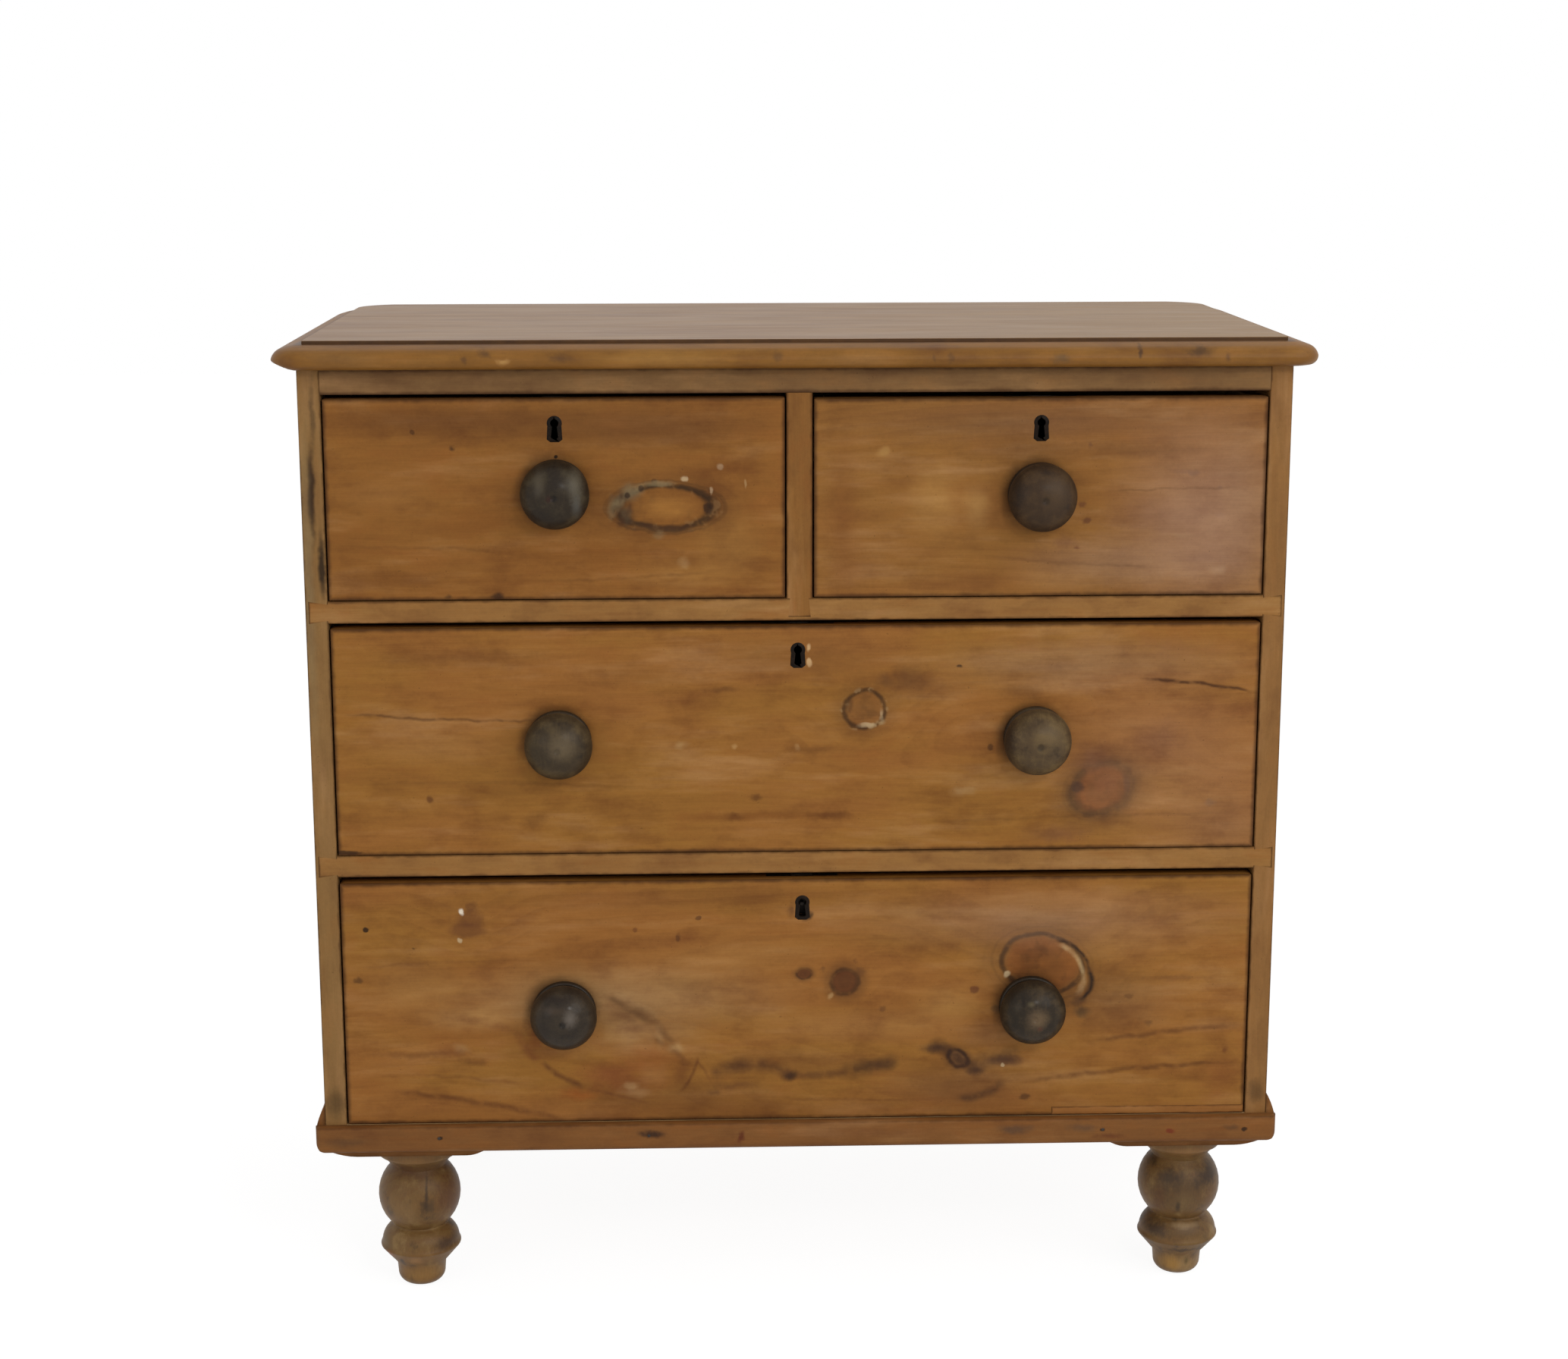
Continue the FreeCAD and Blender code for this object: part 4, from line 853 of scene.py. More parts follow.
RIGHT_FRONT = dict(
    early=srgb(138, 91, 43),
    gold=srgb(136, 92, 42),
    red=0.3,
    haze=0.5,
    blotch=0.75,
    marks=[
        (220, 832, 190, 22, (92, 66, 50), 0.4, 1.0),
        (395, 760, 26, 90, (100, 72, 48), 0.3, 1.0),
        (285, 705, 90, 26, (146, 118, 98), 0.35, 1.0),
        (253.5, 757, 3.6, 2.8, (92, 52, 34), 0.6, 0.8),
        (260.5, 743, 3.8, 3.2, (88, 50, 32), 0.65, 0.8),
        (249, 718, 2.8, 2.4, (92, 52, 34), 0.65, 0.8),
        (241, 722, 12, 7, (104, 62, 42), 0.35, 1.0),
        (353.6, 784.9, 6.5, 3.8, (90, 60, 46), 0.65, 0.9),
        (345, 786, 14, 2.6, (98, 64, 48), 0.4, 1.0),
        (378, 771.5, 3.8, 3.2, (90, 58, 44), 0.65, 0.8),
        (260.7, 809.4, 3, 2.6, (96, 62, 46), 0.5, 0.8),
        (377, 745, 6, 3, (106, 70, 52), 0.5, 0.9),
        (366, 707, 32, 5, (104, 70, 50), 0.5, 1.0),
        (378, 697, 8, 5.5, (180, 148, 112), 0.6, 0.9),
        (160, 756, 14, 22, (170, 130, 76), 0.4, 1.0),
        (76, 806, 7, 5, (164, 124, 70), 0.5, 0.9),
        (40, 745, 16, 90, (112, 66, 30), 0.45, 1.0),
        (343, 729, 12, 3.0, TAN, 0.35, 0.9),
        (374, 712, 46, 26, PLUM, 0.42, 1.0),
        (335, 745, 56, 18, PLUM, 0.42, 1.0),
        # painted sheen: a large pale grey patch over the right end, where the light from the right reflects
        (368, 745, 84, 96, (153, 116, 90), 0.75, 1.0),
        (230, 690, 40, 14, (156, 112, 66), 0.4, 1.0),
        (122, 761, 26, 34, (166, 122, 66), 0.45, 1.0),
        (196, 805, 60, 12, (96, 62, 34), 0.4, 1.0),
        (300, 806, 70, 9, (92, 60, 36), 0.4, 1.0),
        (52, 700, 30, 22, (118, 72, 34), 0.4, 1.0),
        (160, 690, 50, 12, (110, 64, 30), 0.4, 1.0),
    ],
    cracks=[
        ((270, 768), (405, 770), 1.8, 0.25, 2.0, CRACK),
        ((150, 714), (330, 700), 2.6, 0.2, -3.0, CRACK),
    ],
)
MIDDLE_FRONT = dict(
    haze=0.4,
    knots=[(60.3, 571.2, 18.6, 17.6, RING_KNOT), (277.8, 495.0, 28.5, 22.5, RED_KNOT)],
    marks=[
        (0, 618, 110, 24, (96, 60, 30), 0.35, 1.0),
        (270, 612, 150, 26, (132, 108, 90), 0.3, 1.0),
        (385, 462, 44, 26, (92, 56, 28), 0.35, 1.0),
        (61, 556, 8, 2.6, CREAM, 0.6, 0.8),
        (75, 566, 2.6, 6, CREAM, 0.45, 0.8),
        (46, 575, 4.0, 9, (66, 42, 24), 0.5, 0.8),
        (283, 499, 14, 9, (120, 70, 42), 0.6, 0.9),
        (255, 496, 6, 6.5, (52, 38, 32), 0.8, 0.6),
        (300, 498, 4, 12, (66, 50, 42), 0.6, 0.7),
        (268, 524, 20, 16, PLUM, 0.45, 1.0),
        (146.9, 610.2, 3.4, 2.0, (50, 32, 20), 0.8, 0.6),
        (9.6, 627, 2.2, 4, (196, 158, 112), 0.75, 0.6),
        (9.6, 615.5, 2.4, 3.6, (196, 158, 112), 0.75, 0.6),
        (101, 596, 20, 20, (92, 60, 34), 0.55, 1.0),
        (80, 599, 10, 8, (92, 60, 34), 0.5, 1.0),
        (-57, 537, 4, 3.4, (176, 136, 84), 0.6, 0.8),
        (-0.5, 536.5, 3.4, 4, (176, 136, 84), 0.6, 0.8),
        (-334, 491, 3.4, 3.4, (84, 46, 22), 0.7, 0.8),
        (-38, 489.6, 5, 4, (84, 48, 22), 0.6, 0.9),
        (-57, 473, 7, 5, (80, 46, 20), 0.6, 0.9),
        (29, 472, 20, 4.5, (88, 50, 22), 0.6, 0.9),
        (175.6, 535.7, 2.6, 3.0, UMBER, 0.55, 0.7),
        (377.5, 480.2, 5.5, 3.6, (86, 70, 58), 0.5, 0.8),
        (330, 542, 26, 18, PLUM, 0.4, 1.0),
        (236, 453, 34, 10, PLUM, 0.4, 1.0),
        (206, 586, 24, 8, (92, 56, 30), 0.45, 1.0),
        (-30, 472, 90, 5.5, (108, 62, 24), 0.55, 1.0),
        (340, 520, 110, 90, (146, 104, 72), 0.45, 1.0),
        (400, 450, 60, 60, (140, 98, 66), 0.4, 1.0),
        (16, 534, 34, 4.0, (98, 58, 28), 0.45, 1.0),
        (150, 493, 13, 5, TAN, 0.45, 0.9),
        (-106, 540, 8, 4, TAN, 0.4, 0.9),
        (-330, 540, 70, 18, (152, 108, 60), 0.45, 1.0),
        (-300, 620, 90, 10, (104, 66, 34), 0.35, 1.0),
        (-150, 605, 60, 14, (112, 72, 34), 0.3, 1.0),
        (120, 590, 40, 14, (112, 74, 40), 0.35, 1.0),
        (-240, 470, 12, 9, (96, 58, 28), 0.4, 0.9),
        (-70, 590, 16, 3, (84, 50, 26), 0.4, 0.9),
        (-416, 441, 22, 2.2, (30, 21, 14), 0.8, 0.6),
    ],
    cracks=[
        ((306, 597), (422, 583), 2.6, 0.85, 2.5, CRACK),
        ((-418.5, 571.6), (-225.1, 562.7), 2.4, 0.6, -2.0, CRACK),
        ((-410, 505), (-120, 498), 2.8, 0.18, 4.0, CRACK),
        ((90, 462), (410, 470), 2.6, 0.2, 3.0, CRACK),
    ],
    bends=[(-60, 480, 120, 26, 16)],
)
BOTTOM_FRONT = dict(
    pitch=8.0,
    behind=60.0,
    knots=[
        (5.1, 320.5, 6.2, 5.4, PIN_KNOT),
        (43.6, 312.5, 12.6, 12.0, PIN_KNOT),
        (226.6, 328.3, 38, 28, ORANGE_KNOT),
        (149.1, 236.8, 9.5, 7.5, DARK_KNOT),
    ],
    marks=[
        (230, 370, 180, 30, (138, 110, 92), 0.3, 1.0),
        (-170, 300, 150, 34, (162, 132, 92), 0.45, 1.0),
        (150, 208, 84, 28, (90, 56, 36), 0.55, 1.0),
        (-110, 202, 120, 24, (92, 56, 30), 0.45, 1.0),
        (300, 292, 56, 34, (102, 78, 54), 0.35, 1.0),
        (57, 322, 6, 5, (96, 60, 32), 0.5, 0.9),
        (52, 333, 3, 3, (90, 56, 30), 0.6, 0.8),
        (24, 326, 4, 3, (96, 60, 32), 0.5, 0.9),
        (30, 300, 3, 3, (176, 140, 92), 0.5, 0.8),
        (77, 285, 3.4, 3, (90, 52, 28), 0.6, 0.8),
        (-303, 367, 20, 8, (98, 58, 32), 0.65, 0.5),
        (-300, 377, 13, 10, (102, 62, 34), 0.6, 0.6),
        (-299, 388, 5, 6, (96, 58, 32), 0.55, 0.7),
        (-307.8, 383.9, 3.6, 3.8, (226, 212, 190), 0.95, 0.5),
        (-311.1, 356.9, 2.2, 2.4, CREAM, 0.75, 0.6),
        (-396.6, 368.3, 2.6, 2.8, (34, 22, 14), 0.9, 0.5),
        (-352.7, 349.6, 2.2, 1.8, UMBER, 0.55, 0.7),
        (-404.4, 318.8, 4.4, 2.4, UMBER, 0.55, 0.8),
        (-148.7, 365.4, 2.6, 2.6, (92, 50, 26), 0.6, 0.7),
        (-111.0, 356.5, 2.4, 4.0, (80, 48, 26), 0.6, 0.7),
        (-91.5, 375.9, 2.0, 2.0, (80, 48, 26), 0.7, 0.6),
        (-305, 281, 44, 13, (170, 128, 76), 0.5, 1.0),
        (-228, 250, 30, 11, (116, 66, 38), 0.4, 1.0),
        (-138, 240, 44, 26, (122, 68, 32), 0.6, 1.0),
        (-160, 212, 30, 12, (110, 60, 30), 0.6, 1.0),
        (-176, 226, 34, 14, (124, 70, 36), 0.75, 1.0),
        (-108, 226, 10, 15, (92, 50, 24), 0.5, 1.0),
        (-200, 264, 24, 16, (140, 92, 52), 0.45, 1.0),
        (-158, 268, 26, 22, (166, 128, 84), 0.6, 1.0),
        (-136, 224, 16, 10, (156, 110, 64), 0.4, 1.0),
        (-244, 262, 8, 18, (118, 60, 26), 0.5, 1.0),
        (-112, 250, 8, 7, TAN, 0.45, 0.9),
        (-155, 214, 8, 4, TAN, 0.35, 1.0),
        (-128, 262, 5, 12, TAN, 0.4, 0.9),
        (-312.6, 252.3, 9, 5.0, TAN, 0.35, 1.0),
        (-300.8, 238.8, 14, 5, (92, 54, 24), 0.6, 1.0),
        (-353, 247, 48, 4.0, (96, 58, 28), 0.5, 1.0),
        (-52, 232, 20, 7.0, (70, 42, 26), 0.45, 1.0),
        (-8, 222, 10, 6.0, (36, 22, 18), 0.85, 0.9),
        (-60, 213, 22, 5.0, (78, 46, 28), 0.45, 1.0),
        (-78, 207, 9, 4.0, (72, 44, 28), 0.45, 0.9),
        (74, 232, 20, 6.5, (50, 31, 20), 0.6, 1.0),
        (0, 236, 110, 12, (104, 66, 36), 0.35, 1.0),
        (-122, 266, 34, 16, (160, 122, 78), 0.4, 1.0),
        (-150, 285, 26, 14, (98, 66, 38), 0.45, 1.0),
        (-152, 207, 16, 6, (176, 140, 96), 0.28, 1.0),
        (-206, 206, 20, 7, (150, 78, 28), 0.5, 1.0),
        (-322, 250, 20, 9, (112, 64, 32), 0.5, 1.0),
        (262, 292, 9, 6, (72, 48, 32), 0.6, 0.8),
        (194.2, 318.2, 4.0, 3.4, CREAM, 0.8, 0.6),
        (163.8, 303.6, 4.0, 3.6, (86, 42, 26), 0.75, 0.6),
        (264.2, 281.0, 8, 6.5, (78, 60, 38), 0.7, 0.8),
        (183.9, 284.9, 5, 4, (84, 62, 38), 0.55, 0.8),
        (128, 247, 15, 6, (56, 36, 28), 0.75, 0.9),
        (165, 224, 10, 5, (60, 38, 28), 0.7, 0.9),
        (192, 234, 18, 5.6, (72, 44, 34), 0.75, 0.9),
        (175, 258, 36, 16, (112, 74, 46), 0.5, 1.0),
        (140, 290, 34, 18, (168, 124, 70), 0.4, 1.0),
        (190.7, 229.0, 1.8, 2.2, CREAM, 0.7, 0.6),
        (212.5, 197.9, 4.6, 2.8, UMBER, 0.65, 0.7),
        (307.5, 296.1, 4.4, 3.0, (88, 56, 32), 0.5, 0.8),
        (325.9, 268.8, 3.4, 3.0, (88, 56, 32), 0.5, 0.8),
        (399.3, 242.0, 3.0, 5.0, (96, 50, 30), 0.5, 0.8),
        (300, 345, 46, 22, (156, 112, 62), 0.4, 1.0),
        (349, 312.5, 34, 3.2, (100, 62, 34), 0.45, 1.0),
        (-60, 340, 80, 16, (152, 108, 58), 0.35, 1.0),
        (-20, 186, 430, 18, (106, 60, 26), 0.4, 1.0),
        (-100, 395, 300, 12, (108, 64, 30), 0.35, 1.0),
        (300, 390, 130, 12, (150, 104, 60), 0.4, 1.0),
        (-352, 310, 50, 30, (152, 110, 60), 0.4, 1.0),
        (60, 270, 120, 18, (158, 114, 64), 0.35, 1.0),
        (9, 376.5, 5, 5, (40, 26, 18), 0.85, 0.8),
        (-5, 381, 5, 9, (80, 48, 28), 0.6, 0.9),
        (-230, 190, 90, 9, (150, 100, 48), 0.35, 1.0),
        (396, 215, 20, 26, (112, 60, 30), 0.45, 1.0),
    ],
    cracks=[
        ((-84, 222), (-40, 235.5), 11.0, 0.55, 2.0, (68, 41, 26)),
        ((-42, 235.5), (-4, 222), 9.5, 0.55, 1.0, (68, 41, 26)),
        ((-6, 224), (50, 226), 8.0, 0.55, -2.5, (70, 42, 27)),
        ((38, 225), (96, 238), 12.0, 0.7, -2.5, (58, 36, 23)),
        ((-337, 286), (-259, 268), 7.0, 0.45, 2.0, (110, 66, 36)),
        ((-262, 270), (-238, 238), 7.0, 0.55, -3.0, (104, 54, 28)),
        ((-240, 240), (-196, 212), 5.0, 0.7, -3.0, (84, 46, 24)),
        ((-199, 213), (-136, 196), 2.6, 0.45, -1.0, (96, 54, 28)),
        ((-180, 302), (-134, 271), 5.5, 0.5, 3.0, (82, 54, 32)),
        ((-172, 304), (-128, 276), 6.0, 0.3, 3.0, (170, 134, 90)),
        ((-158, 296), (-112, 249), 6.0, 0.45, 4.0, (88, 56, 32)),
        ((-140, 262), (-104, 232), 6.0, 0.45, 5.0, (92, 54, 28)),
        ((-92.6, 246), (-111.9, 204), 3.0, 0.55, 4.0, (84, 44, 22)),
        ((-100, 240), (-80, 214), 2.4, 0.4, 3.0, (96, 54, 28)),
        ((-382.5, 211.4), (-204.7, 176.7), 5.0, 0.55, 5.0, (82, 44, 22)),
        ((-405, 226), (-240, 214), 3.4, 0.35, 5.0, (96, 54, 26)),
        ((240, 349), (266, 318), 4.0, 0.5, 4.0, (190, 158, 112)),
        ((264, 326), (258, 296), 4.0, 0.5, 4.0, (190, 158, 112)),
        ((236, 352), (272, 322), 3.0, 0.9, 7.0, (44, 30, 20)),
        ((268, 330), (260, 290), 4.4, 0.95, 8.0, (40, 28, 20)),
        ((144, 197), (195.8, 214), 7.0, 0.65, -5.0, (60, 38, 25)),
        ((197.2, 210), (421.3, 230), 4.0, 0.6, 4.0, (84, 48, 24)),
        ((264.9, 249), (417.7, 266), 4.4, 0.6, 3.0, (84, 48, 24)),
        ((118, 256), (174, 219), 11.0, 0.65, 2.0, (54, 34, 24)),
        ((160, 228), (210, 240), 13.0, 0.6, 2.0, (62, 40, 28)),
        ((-30, 200), (150, 196), 2.6, 0.3, -1.0, (92, 52, 26)),
        ((-410, 330), (-250, 336), 3.2, 0.3, 3.0, (100, 60, 30)),
    ],
    bends=[(-216, 250, 170, 60, 40), (-301, 377, 36, 26, 16)],
)


LEFT_STILE_MARKS = [
    (-430.5, 772, 3.6, 48, (44, 27, 17), 0.9, 0.8),
    (-423.5, 704, 3.6, 34, (34, 23, 15), 0.9, 0.8),
    (-428, 838, 3.0, 34, (70, 52, 32), 0.6, 0.9),
    (-436, 690, 6, 160, (134, 116, 82), 0.5, 1.0),
    (-427, 658, 2.0, 2.0, (30, 22, 15), 0.9, 0.4),
    (-430, 200, 10, 16, (38, 27, 18), 0.55, 0.9),
]
RIGHT_STILE_MARKS = [(430, 200, 10, 14, (38, 27, 18), 0.5, 0.9)]
TOP_MARKS = [
    (-273, 895, 6, 4, (84, 54, 24), 0.8, 0.8),
    (-290, 889, 3, 3, (84, 54, 24), 0.7, 0.8),
    (-208, 891, 12, 5, (84, 54, 24), 0.7, 0.9),
    (-258, 889, 5, 3, (186, 142, 84), 0.5, 0.9),
    (300, 894, 2.6, 6, (62, 38, 18), 0.8, 0.7),
    (352, 895, 15, 5, (62, 40, 20), 0.8, 0.9),
    (377, 889, 3.0, 5, (84, 52, 24), 0.7, 0.8),
    (230, 888, 9, 5, (82, 62, 38), 0.6, 0.9),
    (134, 890, 3, 5, (92, 60, 26), 0.6, 0.8),
    (118, 889, 2, 5, (92, 60, 26), 0.6, 0.8),
    (-20, 892, 4, 5, (92, 60, 26), 0.6, 0.9),
    (-120, 892, 60, 8, (150, 108, 50), 0.4, 1.0),
    (60, 888, 40, 6, (108, 72, 34), 0.4, 1.0),
    (-400, 892, 40, 7, (112, 78, 40), 0.4, 1.0),
]


BASE_MARKS = [
    (285.2, 167.6, 3.4, 2.6, (30, 20, 14), 0.85, 0.5),
    (417.8, 166.5, 3.4, 2.6, (30, 20, 14), 0.85, 0.5),
    (-334.1, 167.5, 3.4, 2.6, (30, 20, 14), 0.85, 0.5),
    (349.0, 166.0, 4.6, 3.2, (104, 42, 24), 0.8, 0.6),
    (-139, 169, 13, 4.5, (44, 30, 24), 0.85, 0.8),
    (-54, 165, 4, 6, (84, 34, 20), 0.75, 0.8),
    (204, 169, 19, 5, (84, 62, 46), 0.7, 0.9),
    (266, 170, 17, 5, (90, 66, 46), 0.65, 0.9),
    (292, 161, 16, 3, (90, 48, 28), 0.6, 0.9),
    (408, 168, 9, 4, (76, 54, 36), 0.6, 0.9),
    (-417, 165, 26, 6, (86, 60, 38), 0.6, 1.0),
    (60, 168, 80, 5, (112, 70, 38), 0.4, 1.0),
]


# A foot's marks have their places from its middle and above the floor, then half widths and heights,
# colours and strengths.
FOOT_MARKS = {
    "foot_front_left": [
        (0, 14, 30, 14, (140, 98, 48), 0.6), (0, 34, 34, 14, (122, 84, 40), 0.5),
        (0, 121, 44, 12, (76, 46, 26), 0.7), (30, 92, 16, 34, (84, 50, 28), 0.7),
        (10, 100, 2.4, 26, (44, 32, 22), 0.7), (14, 88, 5, 12, (60, 46, 32), 0.6),
        (-14, 86, 20, 22, (134, 104, 66), 0.5), (26, 47, 16, 9, (56, 34, 20), 0.8),
        (-28, 36, 9, 7, (134, 72, 26), 0.7), (-16, 30, 3, 5, (50, 34, 20), 0.7),
        (-2, 32, 9, 8, (154, 112, 64), 0.6), (-32, 47, 8, 12, (104, 84, 50), 0.6),
        (0, 14, 26, 12, (138, 104, 58), 0.6), (-8, 8, 3, 9, (84, 62, 34), 0.5),
        (0, 136, 44, 10, (134, 96, 54), 0.5),
    ],
    "foot_front_right": [
        (0, 95, 46, 34, (62, 46, 31), 0.6), (0, 52, 40, 12, (78, 58, 38), 0.5),
        (0, 12, 30, 14, (156, 126, 84), 0.6), (-14, 106, 16, 14, (52, 38, 26), 0.75),
        (22, 106, 18, 16, (48, 34, 24), 0.8), (0, 84, 18, 16, (106, 82, 50), 0.6),
        (-24, 82, 8, 20, (84, 52, 26), 0.6), (-6, 78, 3, 9, (46, 34, 22), 0.7),
        (26, 84, 10, 16, (92, 58, 28), 0.5), (-26, 50, 16, 11, (52, 38, 28), 0.8),
        (2, 56, 20, 4, (146, 120, 86), 0.7), (14, 40, 24, 8, (112, 84, 46), 0.7),
        (0, 31, 22, 3, (60, 42, 24), 0.6), (-8, 14, 14, 12, (154, 114, 56), 0.8),
        (6, 16, 4, 7, (84, 68, 34), 0.7), (0, 134, 44, 10, (140, 100, 58), 0.6),
    ],
}
BACK_FOOT_MARKS = [(0, 121, 44, 12, (76, 46, 26), 0.6), (0, 12, 26, 12, (138, 104, 58), 0.5)]


# ---- operators -----------------------------------------------------------------------------------
class CHEST_OT_carcass(bpy.types.Operator):
    """Wear and wax the boards of the carcass"""

    bl_idname = "chest.carcass"
    bl_label = "Carcass"

    def execute(self, context):
        tones = colours()
        stile = dict(
            early=tones.stile, late=srgb(96, 68, 36), haze=0.4, dirt_width=1.8, dirt=0.55, red=0.25,
            blotch=0.6,
        )
        olive = dict(stile, early=srgb(133, 99, 57))
        rail = dict(early=srgb(144, 102, 54), late=srgb(100, 66, 34), haze=0.35, dirt=0.65, dirt_width=2.6)
        top = dict(
            rail, early=srgb(120, 88, 53), late=srgb(76, 52, 30), dirt=0.8, dirt_width=4.0, blotch=0.9,
            red=0.25,
        )
        post = dict(rail, early=srgb(130, 88, 42))
        boards = (
            ("side_left", "zyx", 2.0, dict(olive, marks=LEFT_STILE_MARKS)),
            ("side_right", "zyx", 5.0, dict(stile, marks=RIGHT_STILE_MARKS)),
            ("top_rail", "xzy", 8.0, top),
            ("upper_rail", "xzy", 11.0, rail),
            ("lower_rail", "xzy", 14.0, rail),
            ("divider_post", "zxy", 17.0, post),
        )
        for node, order, seed, looks in boards:
            worn_board(node, waxed_pine(node, order, seed, **looks))
        low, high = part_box("back_boards")
        seams = (low.x / MM, (high.x - low.x) / MM / BACK_BOARDS)
        back = raw_pine("back", "zxy", 3.0, (0, 230, 500), 0.7, 0.4, seams)
        along = raw_pine("along", "yzx", 6.0)
        across = raw_pine("across", "xyz", 9.0)
        dress("back_boards", back)
        dress("bottom_board", across)
        for node in ("drawer_stops", "kickers", "centre_guide"):
            dress(node, along)
        for node in frame["nodes"]:
            if node.startswith("runner_"):
                dress(node, along)
        return {"FINISHED"}


class CHEST_OT_top(bpy.types.Operator):
    """Wear and wax the moulded top"""

    bl_idname = "chest.top"
    bl_label = "Top"

    def execute(self, context):
        finish = waxed_pine(
            "top_board", "xyz", 21.0, early=srgb(123, 81, 25), late=srgb(100, 64, 30), haze=0.15, red=0.25,
            dirt=0.0, sheen=0.22, behind=70.0, swirl=36.0, worn_and_sheen_flat=True, marks=TOP_MARKS,
        )
        worn_board("top_board", finish, everywhere=True, width=sizes().top_arris, shape=self.thin_left_nose)
        return {"FINISHED"}

    def thin_left_nose(self, bm):
        """The left end has worn thin from below, so that its nose points."""
        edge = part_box("side_left")[0].x
        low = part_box("top_board")[0]
        cut = bm.verts[:] + bm.edges[:] + bm.faces[:]
        bmesh.ops.bisect_plane(bm, geom=cut, plane_co=(edge, 0, 0), plane_no=(1, 0, 0))
        for vert in bm.verts:
            out = (edge - vert.co.x) / (edge - low.x)
            if out > 0:
                vert.co.z = max(vert.co.z, low.z + sizes().nose_wear * out)


class CHEST_OT_base(bpy.types.Operator):
    """Wear and wax the mouldings over the feet"""

    bl_idname = "chest.base"
    bl_label = "Base mouldings"

    def execute(self, context):
        dark = dict(early=srgb(122, 80, 41), late=srgb(92, 56, 26), dirt=0.5, dirt_width=3.0, blotch=0.8)
        pieces = (
            ("base_moulding_front", "xzy", 24.0, BASE_MARKS),
            ("base_moulding_left", "yzx", 27.0, ()),
            ("base_moulding_right", "yzx", 27.0, ()),
            ("foot_blocks", "xzy", 30.0, ()),
        )
        for node, order, seed, marks in pieces:
            dress(node, waxed_pine(node, order, seed, marks=marks, **dark))
        return {"FINISHED"}


class CHEST_OT_feet(bpy.types.Operator):
    """Turn the four feet"""

    bl_idname = "chest.feet"
    bl_label = "Turned feet"

    def execute(self, context):
        for index, node in enumerate(FEET):
            low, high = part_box(node)
            centre = Vector(((low.x + high.x) / 2, (low.y + high.y) / 2, 0))
            upward = Vector((0, 0, 1))
            finish = turned_pine(node, 40.0 + index * 3, FOOT_MARKS.get(node, BACK_FOOT_MARKS))
            turning(node, FOOT_OUTLINE, centre, upward, index * 7.0, finish, sizes().foot_dent)
        return {"FINISHED"}


class CHEST_OT_drawers(bpy.types.Operator):
    """Wear and wax the drawer fronts, and give the boxes behind them raw pine"""

    bl_idname = "chest.drawers"
    bl_label = "Drawers"

    def execute(self, context):
        fronts = (LEFT_FRONT, RIGHT_FRONT, MIDDLE_FRONT, BOTTOM_FRONT)
        for index, (drawer, looks) in enumerate(zip(DRAWERS, fronts)):
            marks = looks["marks"] + [self.dirt_and_shade_round(knob) for knob in KNOBS if knob.startswith(drawer)]
            node = drawer + "_front"
            worn_board(node, waxed_pine(node, "xzy", 51.0 + index * 3, **dict(looks, marks=marks)))
        tan = srgb(142, 93, 46)
        patch = waxed_pine("bottom_drawer_patch", "xzy", 63.0, early=tan, dirt=0.6, dirt_width=2.0)
        worn_board("bottom_drawer_patch", patch)
        sides = raw_pine("drawer_side", "yzx", 12.0, (0, 0, 400))
        backs = raw_pine("drawer_back", "xzy", 15.0, (0, 210, 400))
        panels = raw_pine("drawer_panel", "xyz", 18.0, (0, 0, 200))
        for drawer in DRAWERS:
            dress(drawer + "_side_left", sides)
            dress(drawer + "_side_right", sides)
            dress(drawer + "_back", backs)
            dress(drawer + "_bottom_panel", panels)
        return {"FINISHED"}

    def dirt_and_shade_round(self, knob):
        """The dark ring round a knob, set a little to its left: dirt that hands and wax leave, and painted
        shade round the knob.
        """
        low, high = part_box(knob)
        x, z = ((low[axis] + high[axis]) / 2 / MM for axis in (0, 2))
        # partly dirt, partly painted shade cast by the knob
        return (x - 2.6, z + 0.5, 33.5, 33.5, (48, 31, 18), 0.8, 0.4)


class CHEST_OT_knobs(bpy.types.Operator):
    """Turn the six knobs"""

    bl_idname = "chest.knobs"
    bl_label = "Knobs"

    def execute(self, context):
        for index, node in enumerate(KNOBS):
            low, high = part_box(node)
            centre = Vector(((low.x + high.x) / 2, FACE * MM, (low.z + high.z) / 2))
            finish = knob_wood(node, 70.0 + index * 3.7)
            turning(node, KNOB_OUTLINE, centre, Vector((0, -1, 0)), index * 5.0, finish, sizes().dent)
        return {"FINISHED"}


# A keyhole, in millimetres: how deep its eye lies below the lock's upper edge, the eye's radius, and half
# the slot's widths at its neck and foot.
EYE_DEPTH = 22.0
EYE_RADIUS = 4.0
EYE_STEPS = 20
SLOT_NECK = 2.6
SLOT_FOOT = 3.7
SLOT_DROP = 14.0   # from the eye's middle down to the slot's end


